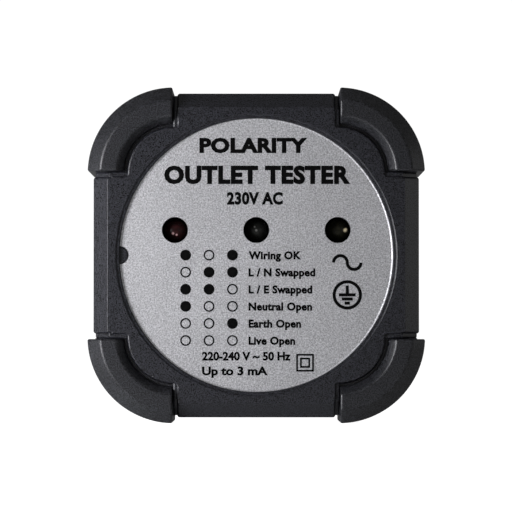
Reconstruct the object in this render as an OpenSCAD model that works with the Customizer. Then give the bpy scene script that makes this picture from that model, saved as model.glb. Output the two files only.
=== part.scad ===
// Plug-in outlet tester for rectangular three-pin mains outlets.
// The part stands as it does in a wall outlet: +Z up, the lamps facing -Y, the pins pointing +Y.
// The origin is the centre of the rear face, the face that rests on the outlet's plate.
// Modules are drawn lying down, with z as the height above the rear face, and upright() stands them up.

/* [Case] */
// Width across the straight sides
case_w = 67.6; // [66.8:0.1:69]
// Height across the straight sides
case_h = 67.3; // [66.8:0.1:69]
// Depth of the closed case, rear face to front face
case_d = 31; // [31:0.5:34]
// Height of the seam between the shells above the rear face
seam_h = 14; // [13:0.5:14.5]
// Wall thickness of both shells
wall = 2.4; // [2.2:0.1:2.6]
// Chamfer along the front edges
front_chamfer = 3; // [1.5:0.1:3.2]
// Chamfer along the rear edges
rear_chamfer = 1.2; // [0.6:0.1:1.4]
// Thickness of the plug base
base_t = 3.6; // [3.4:0.1:4]
// How far the necks beside the corner guards are stepped in
neck_step = 0.45; // [0.4:0.05:0.8]

/* [Corner guards] */
// Outer radius of a guard
guard_r = 17.85; // [17:0.05:18.5]
// How far a guard stands proud of the case sides
guard_proud = 1.2; // [0.8:0.1:1.6]
// Distance of a guard's end faces from the case's centre lines
guard_end = 17.4; // [17.2:0.1:17.8]
// How far a guard stands proud of the front face
guard_rise = 1.5; // [1:0.1:2]
// Chamfer on a guard's front outer edge, across its radius
guard_chamfer = 2.75; // [1.5:0.05:3]
// Radius of a guard's inner edge on the front and rear
guard_inner_r = 10.2; // [10.2:0.05:10.4]
// Width of the slope on a guard's inner edge
guard_slope = 1.55; // [1:0.05:2]

/* [Label and lamps] */
// Radius of the label recess at the front face
recess_r = 29.2; // [28.9:0.1:29.6]
// Depth of the shallow step round the label
ledge_depth = 0.35; // [0.2:0.05:0.5]
// Depth of the label recess
recess_depth = 1.4; // [1.2:0.1:1.5]
// Radius of the label over its turned-up rim
label_r = 28.35; // [27.8:0.05:28.4]
// Thickness of the label
label_t = 0.3; // [0.2:0.05:0.4]
// Thickness of the adhesive behind the label
adhesive_t = 0.1; // [0.05:0.05:0.15]
// Radius of the half-round locating notch in the label's edge
notch_r = 1.9; // [1.5:0.1:2.2]
// Spacing of the lamps
lamp_pitch = 16.86; // [16:0.02:17.5]
// Height of the lamps above the centre
lamp_y = 5.2; // [4.8:0.05:5.6]
// Radius of a lamp window
window_r = 2.7; // [2.6:0.05:2.8]
// Depth of a lamp's tip below the front face
lamp_sink = 2.8; // [2.2:0.1:3.4]

/* [Plug pins] */
// Spacing of the two power pins, centre to centre
power_pitch = 22.2; // [22.2:0.1:22.3]
// Height of the earth pin above the line of the power pins
earth_rise = 22.2; // [22.2:0.1:22.3]
// Width of a power pin
power_w = 6.35; // [6.35:0.01:6.4]
// Thickness of a pin
pin_t = 4; // [3.95:0.01:4.05]
// Length of a power pin beyond the rear face
power_len = 17.7; // [17.2:0.1:18.2]
// Length of the insulating sleeve on a power pin
sleeve_len = 9.5; // [9:0.1:9.5]
// Tall side of the earth pin
earth_w = 8; // [7.95:0.01:8.05]
// Length of the earth pin beyond the rear face
earth_len = 22.7; // [22.3:0.1:23.2]

/* [Hidden] */
$fn = 96;

// Extra length that makes a cut run clear of a face
over = 1;

// Overlap that joins two parts of one piece
bite = 0.1;

// Clearance round a screw
screw_gap = 0.15;

// Case: the core is the outline under the guards, a rounded square stepped in by neck_step
core_x = case_w / 2 - neck_step;
core_y = case_h / 2 - neck_step;
corner_x = case_w / 2 + guard_proud - guard_r;
corner_y = case_h / 2 + guard_proud - guard_r;
core_r = core_x - corner_x;
neck_h = case_d - neck_step;
guard_fit = 0.05;
neck_end = guard_end - guard_fit;
seat_drop = 1.8;
front_seat = case_d - seat_drop;
rear_seat = 2.2;
plateau_foot_r = guard_inner_r - 0.2;
plateau_top_r = plateau_foot_r - 0.6;
fillet_r = 0.75;
panel_x = corner_x - fillet_r;
panel_y = corner_y - fillet_r;
floor_h = case_d - recess_depth;
face_t = 2.4;
ceiling_h = floor_h - face_t;
ledge_h = case_d - ledge_depth;
rim_draft = 0.2;
seat_gap = 0.05;
seat_r = label_r + seat_gap;
seat_draft = 0.12;

// Label: its rim is turned up, and its adhesive stops short of the label's edges
rim_w = 0.35;
rim_rise = 0.25;
rim_edge = 0.1;
adhesive_inset = 0.4;
notch_gap = 0.15;

// Tongue and rebate where the shells meet
lip_t = 1;
lip_h = 1.5;
lip_gap = 0.05;

// Rib inside each guard, and the groove at the seam that it sits in
rib_depth = 0.65;
rib_half_h = 0.6;

// Circuit board and its posts
board_t = 1.6;
board_rear = 15;
board_front = board_rear + board_t;
board_half_x = 27.2;
board_half_y = 16.6;
post_x = 24.4;
post_y = 13.2;
post_r = 2.4;
board_screw_r = 1;
board_screw_len = 7;
board_screw_head_r = 2.1;
board_screw_head_t = 1.6;

// Case screws
screw_x = 20.5;
screw_y = 20.5;
screw_r = 1.45;
screw_len = 16;
screw_head_r = 2.75;
screw_head_t = 2.1;
counterbore_r = 3;
counterbore_h = 4;
boss_r = 3.1;
tube_r = 4.4;

// Lamps
lamp_r = 2.5;
lamp_rim_r = 2.9;
lamp_rim_t = 1;
lamp_h = 8.6;
lamp_tip = case_d - lamp_sink;
lamp_foot = lamp_tip - lamp_h;
lamp_lead_r = 0.25;
lamp_lead_x = 1.27;
lamp_lead_hole_r = 0.4;
lead_proud = 1;
hood_r = 4;
hood_h = 3;
spacer_bore_r = 2;

// Resistors and diodes lie in rows below the lamps
row_y = [-1, -6.5, -12];
resistor_x = -11.5;
resistor_r = 1.7;
resistor_cap_r = 1.9;
resistor_cap_t = 1.6;
resistor_len = 9;
resistor_span = 15;
diode_x = 11.5;
diode_r = 1.35;
diode_len = 5.2;
diode_span = 10;
diode_band_t = 0.9;
diode_band_proud = 0.03;
part_lead_r = 0.35;
part_hole_r = 0.5;
part_stand = 0.3;

// Pins
power_x = power_pitch / 2;
power_y = -earth_rise / 2;
earth_y = earth_rise / 2;
sleeve_t = 0.6;
slot_gap = 0.05;
tip_chamfer = 0.9;
tip_len = 1.5;
head_t = 2;
head_grow = 1.5;
tail_w = 4;
tail_t = 3;
tail_gap = 0.1;
tail_top = base_t + 5.9;

// Retainer plate over the pin heads
retainer_t = 2.4;
retainer_h = base_t + head_t;
retainer_post_r = 2.6;
retainer_screw_r = 1;
retainer_screw_head_r = 2;
retainer_screw_head_t = 1.4;
retainer_screw_len = 6.4;
retainer_posts = [[-9.8, 6.5], [9.8, 6.5], [0, -earth_rise / 2]];
retainer_outline = [
    [-17, -16.5], [17, -16.5], [17, -5], [13.5, 9.5],
    [5.5, 18], [-5.5, 18], [-13.5, 9.5], [-17, -5]
];

// Contact springs
contact_w = 4;
contact_t = 0.5;
contact_h = board_rear - tail_top;

// Turns a piece drawn lying on its rear face into its upright place
module upright() {
    rotate([90, 0, 0])
        children();
}

// Repeats a piece at the four corners of a rectangle
module at_corners(half_x, half_y) {
    for (sx = [-1, 1])
        for (sy = [-1, 1])
            translate([sx * half_x, sy * half_y, 0])
                children();
}

// Outline of the core, moved inwards by inset
module core_outline(inset) {
    half_x = core_x - inset;
    half_y = core_y - inset;
    r = core_r - inset;
    square([2 * half_x, 2 * (half_y - r)], center = true);
    square([2 * (half_x - r), 2 * half_y], center = true);
    at_corners(half_x - r, half_y - r)
        circle(r = r);
}

// Bar along y with a chamfer c on its two long edges at height high
module bar(half_w, half_len, low, high, c) {
    dir = high > low ? 1 : -1;
    rotate([90, 0, 0])
        linear_extrude(height = 2 * half_len, center = true)
            polygon([
                [-half_w, low], [half_w, low], [half_w, high - dir * c],
                [half_w - c, high], [-half_w + c, high], [-half_w, high - dir * c]
            ]);
}

// Cross of two bars, the straight sides of the case
module cross(half_x, half_y, len_x, len_y, low, high, c) {
    bar(half_x, len_y, low, high, c);
    rotate([0, 0, 90])
        bar(half_y, len_x, low, high, c);
}

// Draws its child in one corner, as seen from the corner's arc centre, and mirrors it to the others
module in_each_corner() {
    for (mx = [0, 1])
        for (my = [0, 1])
            mirror([mx, 0, 0])
                mirror([0, my, 0])
                    translate([corner_x, corner_y, 0])
                        children();
}

// Quarter of the core under one guard, between two heights
module corner_core(low, high) {
    start_x = neck_end - corner_x - guard_fit;
    start_y = neck_end - corner_y - guard_fit;
    intersection() {
        translate([0, 0, low])
            cylinder(r = core_r, h = high - low);
        translate([start_x, start_y, low - over])
            cube([guard_r, guard_r, high - low + 2 * over]);
    }
}

// Fillet between the raised face and a neck, at one corner, drawn for the side along x
module face_fillet(low, high) {
    translate([0, 0, low])
        linear_extrude(height = high - low)
            difference() {
                translate([plateau_top_r - fillet_r, -fillet_r - bite])
                    square([2 * fillet_r, fillet_r + bite]);
                translate([plateau_top_r + fillet_r, 0])
                    circle(r = fillet_r);
            }
}

// Raised face inside one guard: a drafted round corner with a fillet at each end
module face_corner(foot, top) {
    low = min(foot, top);
    span = abs(top - foot);
    foot_is_low = foot < top;
    translate([0, 0, low])
        cylinder(
            r1 = foot_is_low ? plateau_foot_r : plateau_top_r,
            r2 = foot_is_low ? plateau_top_r : plateau_foot_r,
            h = span
        );
    face_fillet(low, low + span);
    mirror([1, -1, 0])
        face_fillet(low, low + span);
}

// Everything solid in one shell: straight sides, necks, corners and the raised face
module shell_block(seam, face, neck, seat, c) {
    low = min(seam, seat);
    high = max(seam, seat);
    cross(case_w / 2, case_h / 2, panel_x, panel_y, seam, face, c);
    cross(core_x, core_y, neck_end, neck_end, seam, neck, c);
    in_each_corner() {
        corner_core(low, high);
        face_corner(seat, face);
    }
}

// Half of the seam groove that holds a guard's rib
module seam_groove(low, high) {
    in_each_corner()
        translate([0, 0, low])
            difference() {
                cylinder(r = core_r + over, h = high - low);
                translate([0, 0, -over])
                    cylinder(r = core_r - rib_depth - guard_fit, h = high - low + 2 * over);
                translate([-2 * guard_r + neck_end - corner_x, -2 * guard_r, -over])
                    cube([2 * guard_r, 4 * guard_r, high - low + 2 * over]);
                translate([-2 * guard_r, -2 * guard_r + neck_end - corner_y, -over])
                    cube([4 * guard_r, 2 * guard_r, high - low + 2 * over]);
            }
}

// Places a child at each of the three lamps
module at_lamps() {
    for (i = [-1, 0, 1])
        translate([i * lamp_pitch, lamp_y, 0])
            children();
}

// Screw drawn with its head below z = 0 and its shank above, with a cross recess in the head
module screw(shank_r, shank_len, head_r, head_t) {
    recess_w = head_r * 0.32;
    recess_len = head_r * 1.2;
    rim_t = head_t * 0.6;
    difference() {
        union() {
            cylinder(r = shank_r, h = shank_len);
            translate([0, 0, -rim_t])
                cylinder(r = head_r, h = rim_t);
            translate([0, 0, -head_t])
                cylinder(r1 = head_r * 0.72, r2 = head_r, h = head_t - rim_t);
        }
        for (turn = [0, 90])
            rotate([0, 0, turn])
                translate([-recess_len / 2, -recess_w / 2, -head_t - over])
                    cube([recess_len, recess_w, rim_t + over]);
    }
}

module front_shell() {
    color("#33353a")
        upright() {
            difference() {
                union() {
                    difference() {
                        shell_block(seam_h, case_d, neck_h, front_seat, front_chamfer);
                        // Cavity, and the rebate for the rear shell's tongue
                        translate([0, 0, seam_h - over])
                            linear_extrude(height = ceiling_h - seam_h + over)
                                core_outline(wall);
                        translate([0, 0, seam_h - over])
                            linear_extrude(height = lip_h + lip_gap + over)
                                core_outline(wall - lip_t);
                        // Shallow step round the label, and the deeper seat that holds it
                        translate([0, 0, ledge_h])
                            cylinder(r1 = recess_r - rim_draft, r2 = recess_r, h = ledge_depth);
                        translate([0, 0, case_d])
                            cylinder(r = recess_r, h = over);
                        translate([0, 0, floor_h])
                            cylinder(r1 = seat_r, r2 = seat_r + seat_draft, h = ledge_h - floor_h);
                        seam_groove(seam_h - over, seam_h + rib_half_h);
                    }
                    // Locating boss for the label's notch
                    translate([-label_r, 0, ceiling_h])
                        cylinder(r = notch_r - notch_gap, h = face_t + adhesive_t + label_t - bite);
                    // Hoods round the lamps, board posts and screw bosses
                    at_lamps()
                        translate([0, 0, ceiling_h - hood_h])
                            cylinder(r = hood_r, h = hood_h + over);
                    at_corners(post_x, post_y)
                        translate([0, 0, board_front])
                            cylinder(r = post_r, h = ceiling_h - board_front + over);
                    at_corners(screw_x, screw_y)
                        translate([0, 0, seam_h])
                            cylinder(r = boss_r, h = ceiling_h - seam_h + over);
                }
                at_lamps()
                    translate([0, 0, ceiling_h - hood_h - over])
                        cylinder(r = window_r, h = hood_h + face_t + 2 * over);
                at_corners(post_x, post_y)
                    translate([0, 0, board_front - over])
                        cylinder(r = board_screw_r, h = board_screw_len - board_t + over);
                at_corners(screw_x, screw_y)
                    translate([0, 0, seam_h - over])
                        cylinder(r = screw_r, h = counterbore_h + screw_len - seam_h + over);
            }
        }
}

module rear_shell() {
    color("#303237")
        upright()
            difference() {
                union() {
                    difference() {
                        shell_block(seam_h, 0, neck_step, rear_seat, rear_chamfer);
                        translate([0, 0, base_t])
                            linear_extrude(height = seam_h - base_t + over)
                                core_outline(wall);
                        seam_groove(seam_h - rib_half_h, seam_h + over);
                    }
                    // Tongue that locates the front shell
                    translate([0, 0, seam_h - over])
                        linear_extrude(height = lip_h + over)
                            difference() {
                                core_outline(wall - lip_t + lip_gap);
                                core_outline(wall);
                            }
                    at_corners(screw_x, screw_y)
                        translate([0, 0, base_t - over])
                            cylinder(r = tube_r, h = seam_h - base_t + over);
                    for (p = retainer_posts)
                        translate([p[0], p[1], base_t - over])
                            cylinder(r = retainer_post_r, h = head_t + over);
                }
                at_corners(screw_x, screw_y) {
                    translate([0, 0, -over])
                        cylinder(r = counterbore_r, h = counterbore_h + over);
                    cylinder(r = screw_r, h = seam_h + over);
                }
                for (p = retainer_posts)
                    translate([p[0], p[1], retainer_h + retainer_t - retainer_screw_len])
                        cylinder(r = retainer_screw_r, h = retainer_screw_len);
                pin_slot(-power_x, power_y, power_w, pin_t);
                pin_slot(power_x, power_y, power_w, pin_t);
                pin_slot(0, earth_y, pin_t, earth_w);
            }
}

// Slot through the plug base for one pin
module pin_slot(x, y, w, h) {
    translate([x - w / 2 - slot_gap, y - h / 2 - slot_gap, -over])
        cube([w + 2 * slot_gap, h + 2 * slot_gap, base_t + 2 * over]);
}

// Cross-section of a guard: radius from the arc's centre, and height above the rear face
module guard_section() {
    top = case_d + guard_rise;
    wall_r = core_r + guard_fit;
    rib_r = core_r - rib_depth;
    rear = 0.25;
    rear_edge = 1.25;
    rear_slope = 0.8;
    slope_foot = front_seat + 1.1;
    polygon([
        [guard_r, rear + rear_edge],
        [guard_r, top - guard_chamfer],
        [guard_r - guard_chamfer, top],
        [guard_inner_r + guard_slope, top],
        [guard_inner_r, slope_foot],
        [guard_inner_r, front_seat + guard_fit],
        [wall_r, front_seat + guard_fit],
        [wall_r, seam_h + rib_half_h - guard_fit],
        [rib_r, seam_h + rib_half_h - guard_fit],
        [rib_r, seam_h - rib_half_h + guard_fit],
        [wall_r, seam_h - rib_half_h + guard_fit],
        [wall_r, rear_seat - guard_fit],
        [guard_inner_r, rear_seat - guard_fit],
        [guard_inner_r, rear + rear_slope],
        [guard_inner_r + rear_slope, rear],
        [guard_r - rear_edge, rear]
    ]);
}

// Guard for the corner at +x, +y, with chamfers on its ends' front and outer edges
module guard() {
    end_x = guard_end - corner_x;
    end_y = guard_end - corner_y;
    top = case_d + guard_rise;
    c = 0.55;
    cut = 3;
    translate([corner_x, corner_y, 0])
        difference() {
            intersection() {
                rotate_extrude(angle = 90)
                    guard_section();
                translate([end_x, end_y, -over])
                    cube([guard_r, guard_r, top + 2 * over]);
            }
            // End face towards -y
            translate([0, end_y, top - c])
                rotate([45, 0, 0])
                    translate([0, -cut, 0])
                        cube([guard_r + over, cut, cut]);
            translate([guard_r - c, end_y, -over])
                rotate([0, 0, -45])
                    translate([0, -cut, 0])
                        cube([cut, cut, top + 2 * over]);
            // End face towards -x
            translate([end_x, 0, top - c])
                rotate([0, -45, 0])
                    translate([-cut, 0, 0])
                        cube([cut, guard_r + over, cut]);
            translate([end_x, guard_r - c, -over])
                rotate([0, 0, 45])
                    translate([-cut, 0, 0])
                        cube([cut, cut, top + 2 * over]);
        }
}

module guard_piece(left, bottom) {
    color("#2b2d31")
        upright()
            mirror([left ? 1 : 0, 0, 0])
                mirror([0, bottom ? 1 : 0, 0])
                    guard();
}

module guard_top_left() {
    guard_piece(true, false);
}

module guard_top_right() {
    guard_piece(false, false);
}

module guard_bottom_left() {
    guard_piece(true, true);
}

module guard_bottom_right() {
    guard_piece(false, true);
}

// Cutters for the lamp holes and the locating notch, grown by extra
module label_holes(extra) {
    at_lamps()
        translate([0, 0, floor_h - over])
            cylinder(r = window_r + extra, h = recess_depth + 2 * over);
    translate([-label_r, 0, floor_h - over])
        cylinder(r = notch_r + extra, h = recess_depth + 2 * over);
}

// Thin metal disc with its rim turned up against the wall of its seat
module face_label() {
    top = label_t + rim_rise;
    color("#b9babf")
        upright()
            difference() {
                translate([0, 0, floor_h + adhesive_t])
                    rotate_extrude()
                        polygon([
                            [0, 0], [label_r, 0], [label_r, top], [label_r - rim_edge, top],
                            [label_r - rim_w, label_t], [0, label_t]
                        ]);
                label_holes(0);
            }
}

module label_adhesive() {
    color("#e6e2d4")
        upright()
            difference() {
                translate([0, 0, floor_h])
                    cylinder(r = label_r - adhesive_inset, h = adhesive_t);
                label_holes(adhesive_inset);
            }
}

module circuit_board() {
    color("#2e6b3f")
        upright()
            translate([0, 0, board_rear])
                difference() {
                    translate([-board_half_x, -board_half_y, 0])
                        cube([2 * board_half_x, 2 * board_half_y, board_t]);
                    translate([0, 0, -over])
                        board_holes(board_t + 2 * over);
                }
}

// All the holes in the board, drawn from z = 0
module board_holes(h) {
    at_corners(post_x, post_y)
        cylinder(r = board_screw_r + screw_gap, h = h);
    at_lamps()
        for (sx = [-1, 1])
            translate([sx * lamp_lead_x, 0, 0])
                cylinder(r = lamp_lead_hole_r, h = h);
    for (y = row_y)
        for (sx = [-1, 1]) {
            translate([resistor_x + sx * resistor_span / 2, y, 0])
                cylinder(r = part_hole_r, h = h);
            translate([diode_x + sx * diode_span / 2, y, 0])
                cylinder(r = part_hole_r, h = h);
        }
}

module board_screws() {
    color("#c9cbcd")
        upright()
            at_corners(post_x, post_y)
                translate([0, 0, board_rear])
                    screw(board_screw_r, board_screw_len, board_screw_head_r, board_screw_head_t);
}

// Round-topped lamp standing at height lamp_foot, with two leads through the board
module lamp(i) {
    upright()
        translate([i * lamp_pitch, lamp_y, 0]) {
            difference() {
                translate([0, 0, lamp_foot])
                    cylinder(r = lamp_rim_r, h = lamp_rim_t);
                translate([lamp_r, -lamp_rim_r, lamp_foot - over])
                    cube([lamp_r, 2 * lamp_rim_r, lamp_rim_t + 2 * over]);
            }
            translate([0, 0, lamp_foot])
                cylinder(r = lamp_r, h = lamp_h - lamp_r);
            translate([0, 0, lamp_tip - lamp_r])
                sphere(r = lamp_r);
            for (sx = [-1, 1])
                translate([sx * lamp_lead_x, 0, board_rear - lead_proud])
                    cylinder(r = lamp_lead_r, h = lamp_foot - board_rear + lead_proud + bite);
        }
}

module led_left() {
    color("#a83a30")
        lamp(-1);
}

module led_middle() {
    color("#9aa39c")
        lamp(0);
}

module led_right() {
    color("#b08a3a")
        lamp(1);
}

// Black tube that holds a lamp off the board
module lamp_spacer(i) {
    color("#1c1c1e")
        upright()
            translate([i * lamp_pitch, lamp_y, board_front])
                difference() {
                    cylinder(r = lamp_rim_r, h = lamp_foot - board_front);
                    translate([0, 0, -over])
                        cylinder(r = spacer_bore_r, h = lamp_foot - board_front + 2 * over);
                }
}

module led_spacer_left() {
    lamp_spacer(-1);
}

module led_spacer_middle() {
    lamp_spacer(0);
}

module led_spacer_right() {
    lamp_spacer(1);
}

// Two bent leads of a part that lies on the board, along x
module part_leads(span, rise) {
    translate([-span / 2, 0, rise])
        rotate([0, 90, 0])
            cylinder(r = part_lead_r, h = span);
    for (sx = [-1, 1])
        translate([sx * span / 2, 0, 0]) {
            translate([0, 0, -board_t - lead_proud])
                cylinder(r = part_lead_r, h = rise + board_t + lead_proud);
            translate([0, 0, rise])
                sphere(r = part_lead_r);
        }
}

module resistor(row) {
    rise = part_stand + resistor_cap_r;
    color("#8fb7c9")
        upright()
            translate([resistor_x, row_y[row], board_front]) {
                translate([-resistor_len / 2, 0, rise])
                    rotate([0, 90, 0])
                        cylinder(r = resistor_r, h = resistor_len);
                for (sx = [-1, 1])
                    translate([sx * (resistor_len - resistor_cap_t) / 2, 0, rise])
                        rotate([0, 90, 0])
                            cylinder(r = resistor_cap_r, h = resistor_cap_t, center = true);
                part_leads(resistor_span, rise);
            }
}

module resistor_live_neutral() {
    resistor(0);
}

module resistor_live_earth() {
    resistor(1);
}

module resistor_neutral_earth() {
    resistor(2);
}

module diode(row) {
    rise = part_stand + diode_r;
    color("#26262a")
        upright()
            translate([diode_x, row_y[row], board_front]) {
                translate([-diode_len / 2, 0, rise])
                    rotate([0, 90, 0])
                        cylinder(r = diode_r, h = diode_len);
                translate([diode_len / 2 - 2 * diode_band_t, 0, rise])
                    rotate([0, 90, 0])
                        cylinder(r = diode_r + diode_band_proud, h = diode_band_t);
                part_leads(diode_span, rise);
            }
}

module diode_live_neutral() {
    diode(0);
}

module diode_live_earth() {
    diode(1);
}

module diode_neutral_earth() {
    diode(2);
}

// Rectangular blade from z = top down to z = -len, with its free end chamfered on all sides
module blade(w, t, len, top) {
    intersection() {
        blade_profile(w, t, len, top);
        rotate([0, 0, 90])
            blade_profile(t, w, len, top);
    }
}

module blade_profile(w, t, len, top) {
    rotate([90, 0, 0])
        linear_extrude(height = t, center = true)
            polygon([
                [-w / 2, top], [-w / 2, -len + tip_len], [-w / 2 + tip_chamfer, -len],
                [w / 2 - tip_chamfer, -len], [w / 2, -len + tip_len], [w / 2, top]
            ]);
}

// Head that rests on the plug base, and the tail that the contact spring presses on
module pin_head(w, h) {
    translate([-w / 2 - head_grow, -h / 2 - head_grow, base_t])
        cube([w + 2 * head_grow, h + 2 * head_grow, head_t]);
    translate([-tail_w / 2, -tail_t / 2, base_t + head_t - bite])
        cube([tail_w, tail_t, tail_top - base_t - head_t + bite]);
}

// Power pin, thinner where the sleeve covers it
module power_pin(side) {
    core_w = power_w - 2 * sleeve_t;
    core_t = pin_t - 2 * sleeve_t;
    color("#c8a24a")
        upright()
            translate([side * power_x, power_y, 0]) {
                pin_head(power_w, pin_t);
                translate([-core_w / 2, -core_t / 2, -sleeve_len - bite])
                    cube([core_w, core_t, sleeve_len + base_t + 2 * bite]);
                blade(power_w, pin_t, power_len, -sleeve_len);
            }
}

module neutral_pin() {
    power_pin(-1);
}

module live_pin() {
    power_pin(1);
}

module earth_pin() {
    color("#c8a24a")
        upright()
            translate([0, earth_y, 0]) {
                pin_head(pin_t, earth_w);
                blade(pin_t, earth_w, earth_len, base_t + bite);
            }
}

module power_sleeve(side) {
    color("#1b1b1d")
        upright()
            translate([side * power_x, power_y, -sleeve_len])
                difference() {
                    translate([-power_w / 2, -pin_t / 2, 0])
                        cube([power_w, pin_t, sleeve_len + base_t]);
                    translate([-power_w / 2 + sleeve_t, -pin_t / 2 + sleeve_t, -over])
                        cube([
                            power_w - 2 * sleeve_t, pin_t - 2 * sleeve_t,
                            sleeve_len + base_t + 2 * over
                        ]);
                }
}

module neutral_sleeve() {
    power_sleeve(-1);
}

module live_sleeve() {
    power_sleeve(1);
}

module pin_retainer() {
    color("#d9d4c6")
        upright()
            translate([0, 0, retainer_h])
                difference() {
                    linear_extrude(height = retainer_t)
                        polygon(retainer_outline);
                    for (p = retainer_posts)
                        translate([p[0], p[1], -over])
                            cylinder(r = retainer_screw_r + screw_gap, h = retainer_t + 2 * over);
                    for (p = [[-power_x, power_y], [power_x, power_y], [0, earth_y]])
                        translate([p[0] - tail_w / 2 - tail_gap, p[1] - tail_t / 2 - tail_gap, -over])
                            cube([
                                tail_w + 2 * tail_gap, tail_t + 2 * tail_gap,
                                retainer_t + 2 * over
                            ]);
                }
}

module retainer_screws() {
    color("#c9cbcd")
        upright()
            for (p = retainer_posts)
                translate([p[0], p[1], retainer_h + retainer_t])
                    mirror([0, 0, 1])
                        screw(
                            retainer_screw_r, retainer_screw_len,
                            retainer_screw_head_r, retainer_screw_head_t
                        );
}

// Bent spring from a pin's tail to the board; turn is 1 where it leans towards +y
module contact(x, y, turn) {
    arm_foot = 1.4;
    arm_top = 2.4;
    pad = 1.6;
    reach = 4.6;
    color("#d2b25a")
        upright()
            translate([x, y, tail_top])
                mirror([0, turn > 0 ? 0 : 1, 0])
                    rotate([90, 0, 90])
                        linear_extrude(height = contact_w, center = true)
                            polygon([
                                [-pad, 0], [arm_foot, 0],
                                [arm_top, contact_h - contact_t], [reach, contact_h - contact_t],
                                [reach, contact_h], [arm_top - contact_t, contact_h],
                                [arm_foot - contact_t, contact_t], [-pad, contact_t]
                            ]);
}

module earth_contact() {
    contact(0, earth_y, -1);
}

module neutral_contact() {
    contact(-power_x, power_y, 1);
}

module live_contact() {
    contact(power_x, power_y, 1);
}

module case_screws() {
    color("#9a9ca0")
        upright()
            at_corners(screw_x, screw_y)
                translate([0, 0, counterbore_h])
                    screw(screw_r, screw_len, screw_head_r, screw_head_t);
}

front_shell();
rear_shell();
guard_top_left();
guard_top_right();
guard_bottom_left();
guard_bottom_right();
face_label();
label_adhesive();
circuit_board();
board_screws();
led_left();
led_middle();
led_right();
led_spacer_left();
led_spacer_middle();
led_spacer_right();
resistor_live_neutral();
resistor_live_earth();
resistor_neutral_earth();
diode_live_neutral();
diode_live_earth();
diode_neutral_earth();
earth_pin();
neutral_pin();
live_pin();
neutral_sleeve();
live_sleeve();
pin_retainer();
retainer_screws();
earth_contact();
neutral_contact();
live_contact();
case_screws();
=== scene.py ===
"""Looks of a plug-in outlet tester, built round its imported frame.

Pieces are drawn lying on the rear face, with z as the height above it, in metres. stand_up() then
turns them into the frame's own axes: +Z up, the lamps facing -Y and the pins pointing +Y.
"""
import logging
import math
from dataclasses import dataclass, field
from enum import Enum
from typing import Iterable, Sequence

import bmesh
import bpy
from bmesh.types import BMEdge, BMesh, BMFace, BMVert
from mathutils import Matrix, Vector


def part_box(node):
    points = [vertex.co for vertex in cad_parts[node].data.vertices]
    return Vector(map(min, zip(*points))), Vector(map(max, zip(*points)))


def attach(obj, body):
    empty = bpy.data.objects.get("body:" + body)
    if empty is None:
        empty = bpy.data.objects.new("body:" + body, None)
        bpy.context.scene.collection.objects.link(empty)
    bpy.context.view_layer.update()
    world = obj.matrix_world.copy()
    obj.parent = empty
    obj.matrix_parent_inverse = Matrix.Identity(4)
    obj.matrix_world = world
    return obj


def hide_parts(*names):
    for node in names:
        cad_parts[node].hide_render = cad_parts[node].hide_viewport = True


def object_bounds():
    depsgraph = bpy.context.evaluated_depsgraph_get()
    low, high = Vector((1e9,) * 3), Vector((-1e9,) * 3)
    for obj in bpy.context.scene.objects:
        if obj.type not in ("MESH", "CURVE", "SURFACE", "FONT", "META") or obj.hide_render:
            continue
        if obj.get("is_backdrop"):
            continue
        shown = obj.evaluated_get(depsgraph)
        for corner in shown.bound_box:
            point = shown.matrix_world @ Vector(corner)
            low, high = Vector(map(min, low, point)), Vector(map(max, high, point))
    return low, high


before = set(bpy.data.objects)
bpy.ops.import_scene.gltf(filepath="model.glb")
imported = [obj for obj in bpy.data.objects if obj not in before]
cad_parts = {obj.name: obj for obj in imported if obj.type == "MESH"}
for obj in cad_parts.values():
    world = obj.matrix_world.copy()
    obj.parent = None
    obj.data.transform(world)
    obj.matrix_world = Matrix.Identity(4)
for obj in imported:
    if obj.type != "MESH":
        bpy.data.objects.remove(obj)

LOG = logging.getLogger("tester")
MM = 0.001
WELD = 1e-7
OVERLAP = 0.5 * MM
PLUG_BASE_T = 3.6 * MM
SLEEVED = (6.35 * MM, 4 * MM)
PINS = {
    "earth_pin": (4 * MM, 8 * MM, None),
    "neutral_pin": (*SLEEVED, "neutral_sleeve"),
    "live_pin": (*SLEEVED, "live_sleeve"),
}
STAND_UP = Matrix.Rotation(math.radians(90), 4, "X")
SMOOTH_ANGLE = math.radians(34)


class Join(Enum):
    """How one solid is combined with another."""

    ADD = "UNION"
    CUT = "DIFFERENCE"


class Side(Enum):
    """Which shell of the case a builder makes, with its frame node."""

    FRONT = "front_shell"
    REAR = "rear_shell"


class Corner(Enum):
    """The four corners: the frame node's ending, and the signs that mirror the first corner there."""

    TOP_LEFT = ("top_left", -1, 1)
    TOP_RIGHT = ("top_right", 1, 1)
    BOTTOM_LEFT = ("bottom_left", -1, -1)
    BOTTOM_RIGHT = ("bottom_right", 1, -1)

    @property
    def ending(self) -> str:
        """Ending of the corner's node name."""
        return self.value[0]

    @property
    def signs(self) -> tuple[int, int]:
        """Signs along x and along the height of the face."""
        return self.value[1], self.value[2]


# ---------------------------------------------------------------- mesh helpers


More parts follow.
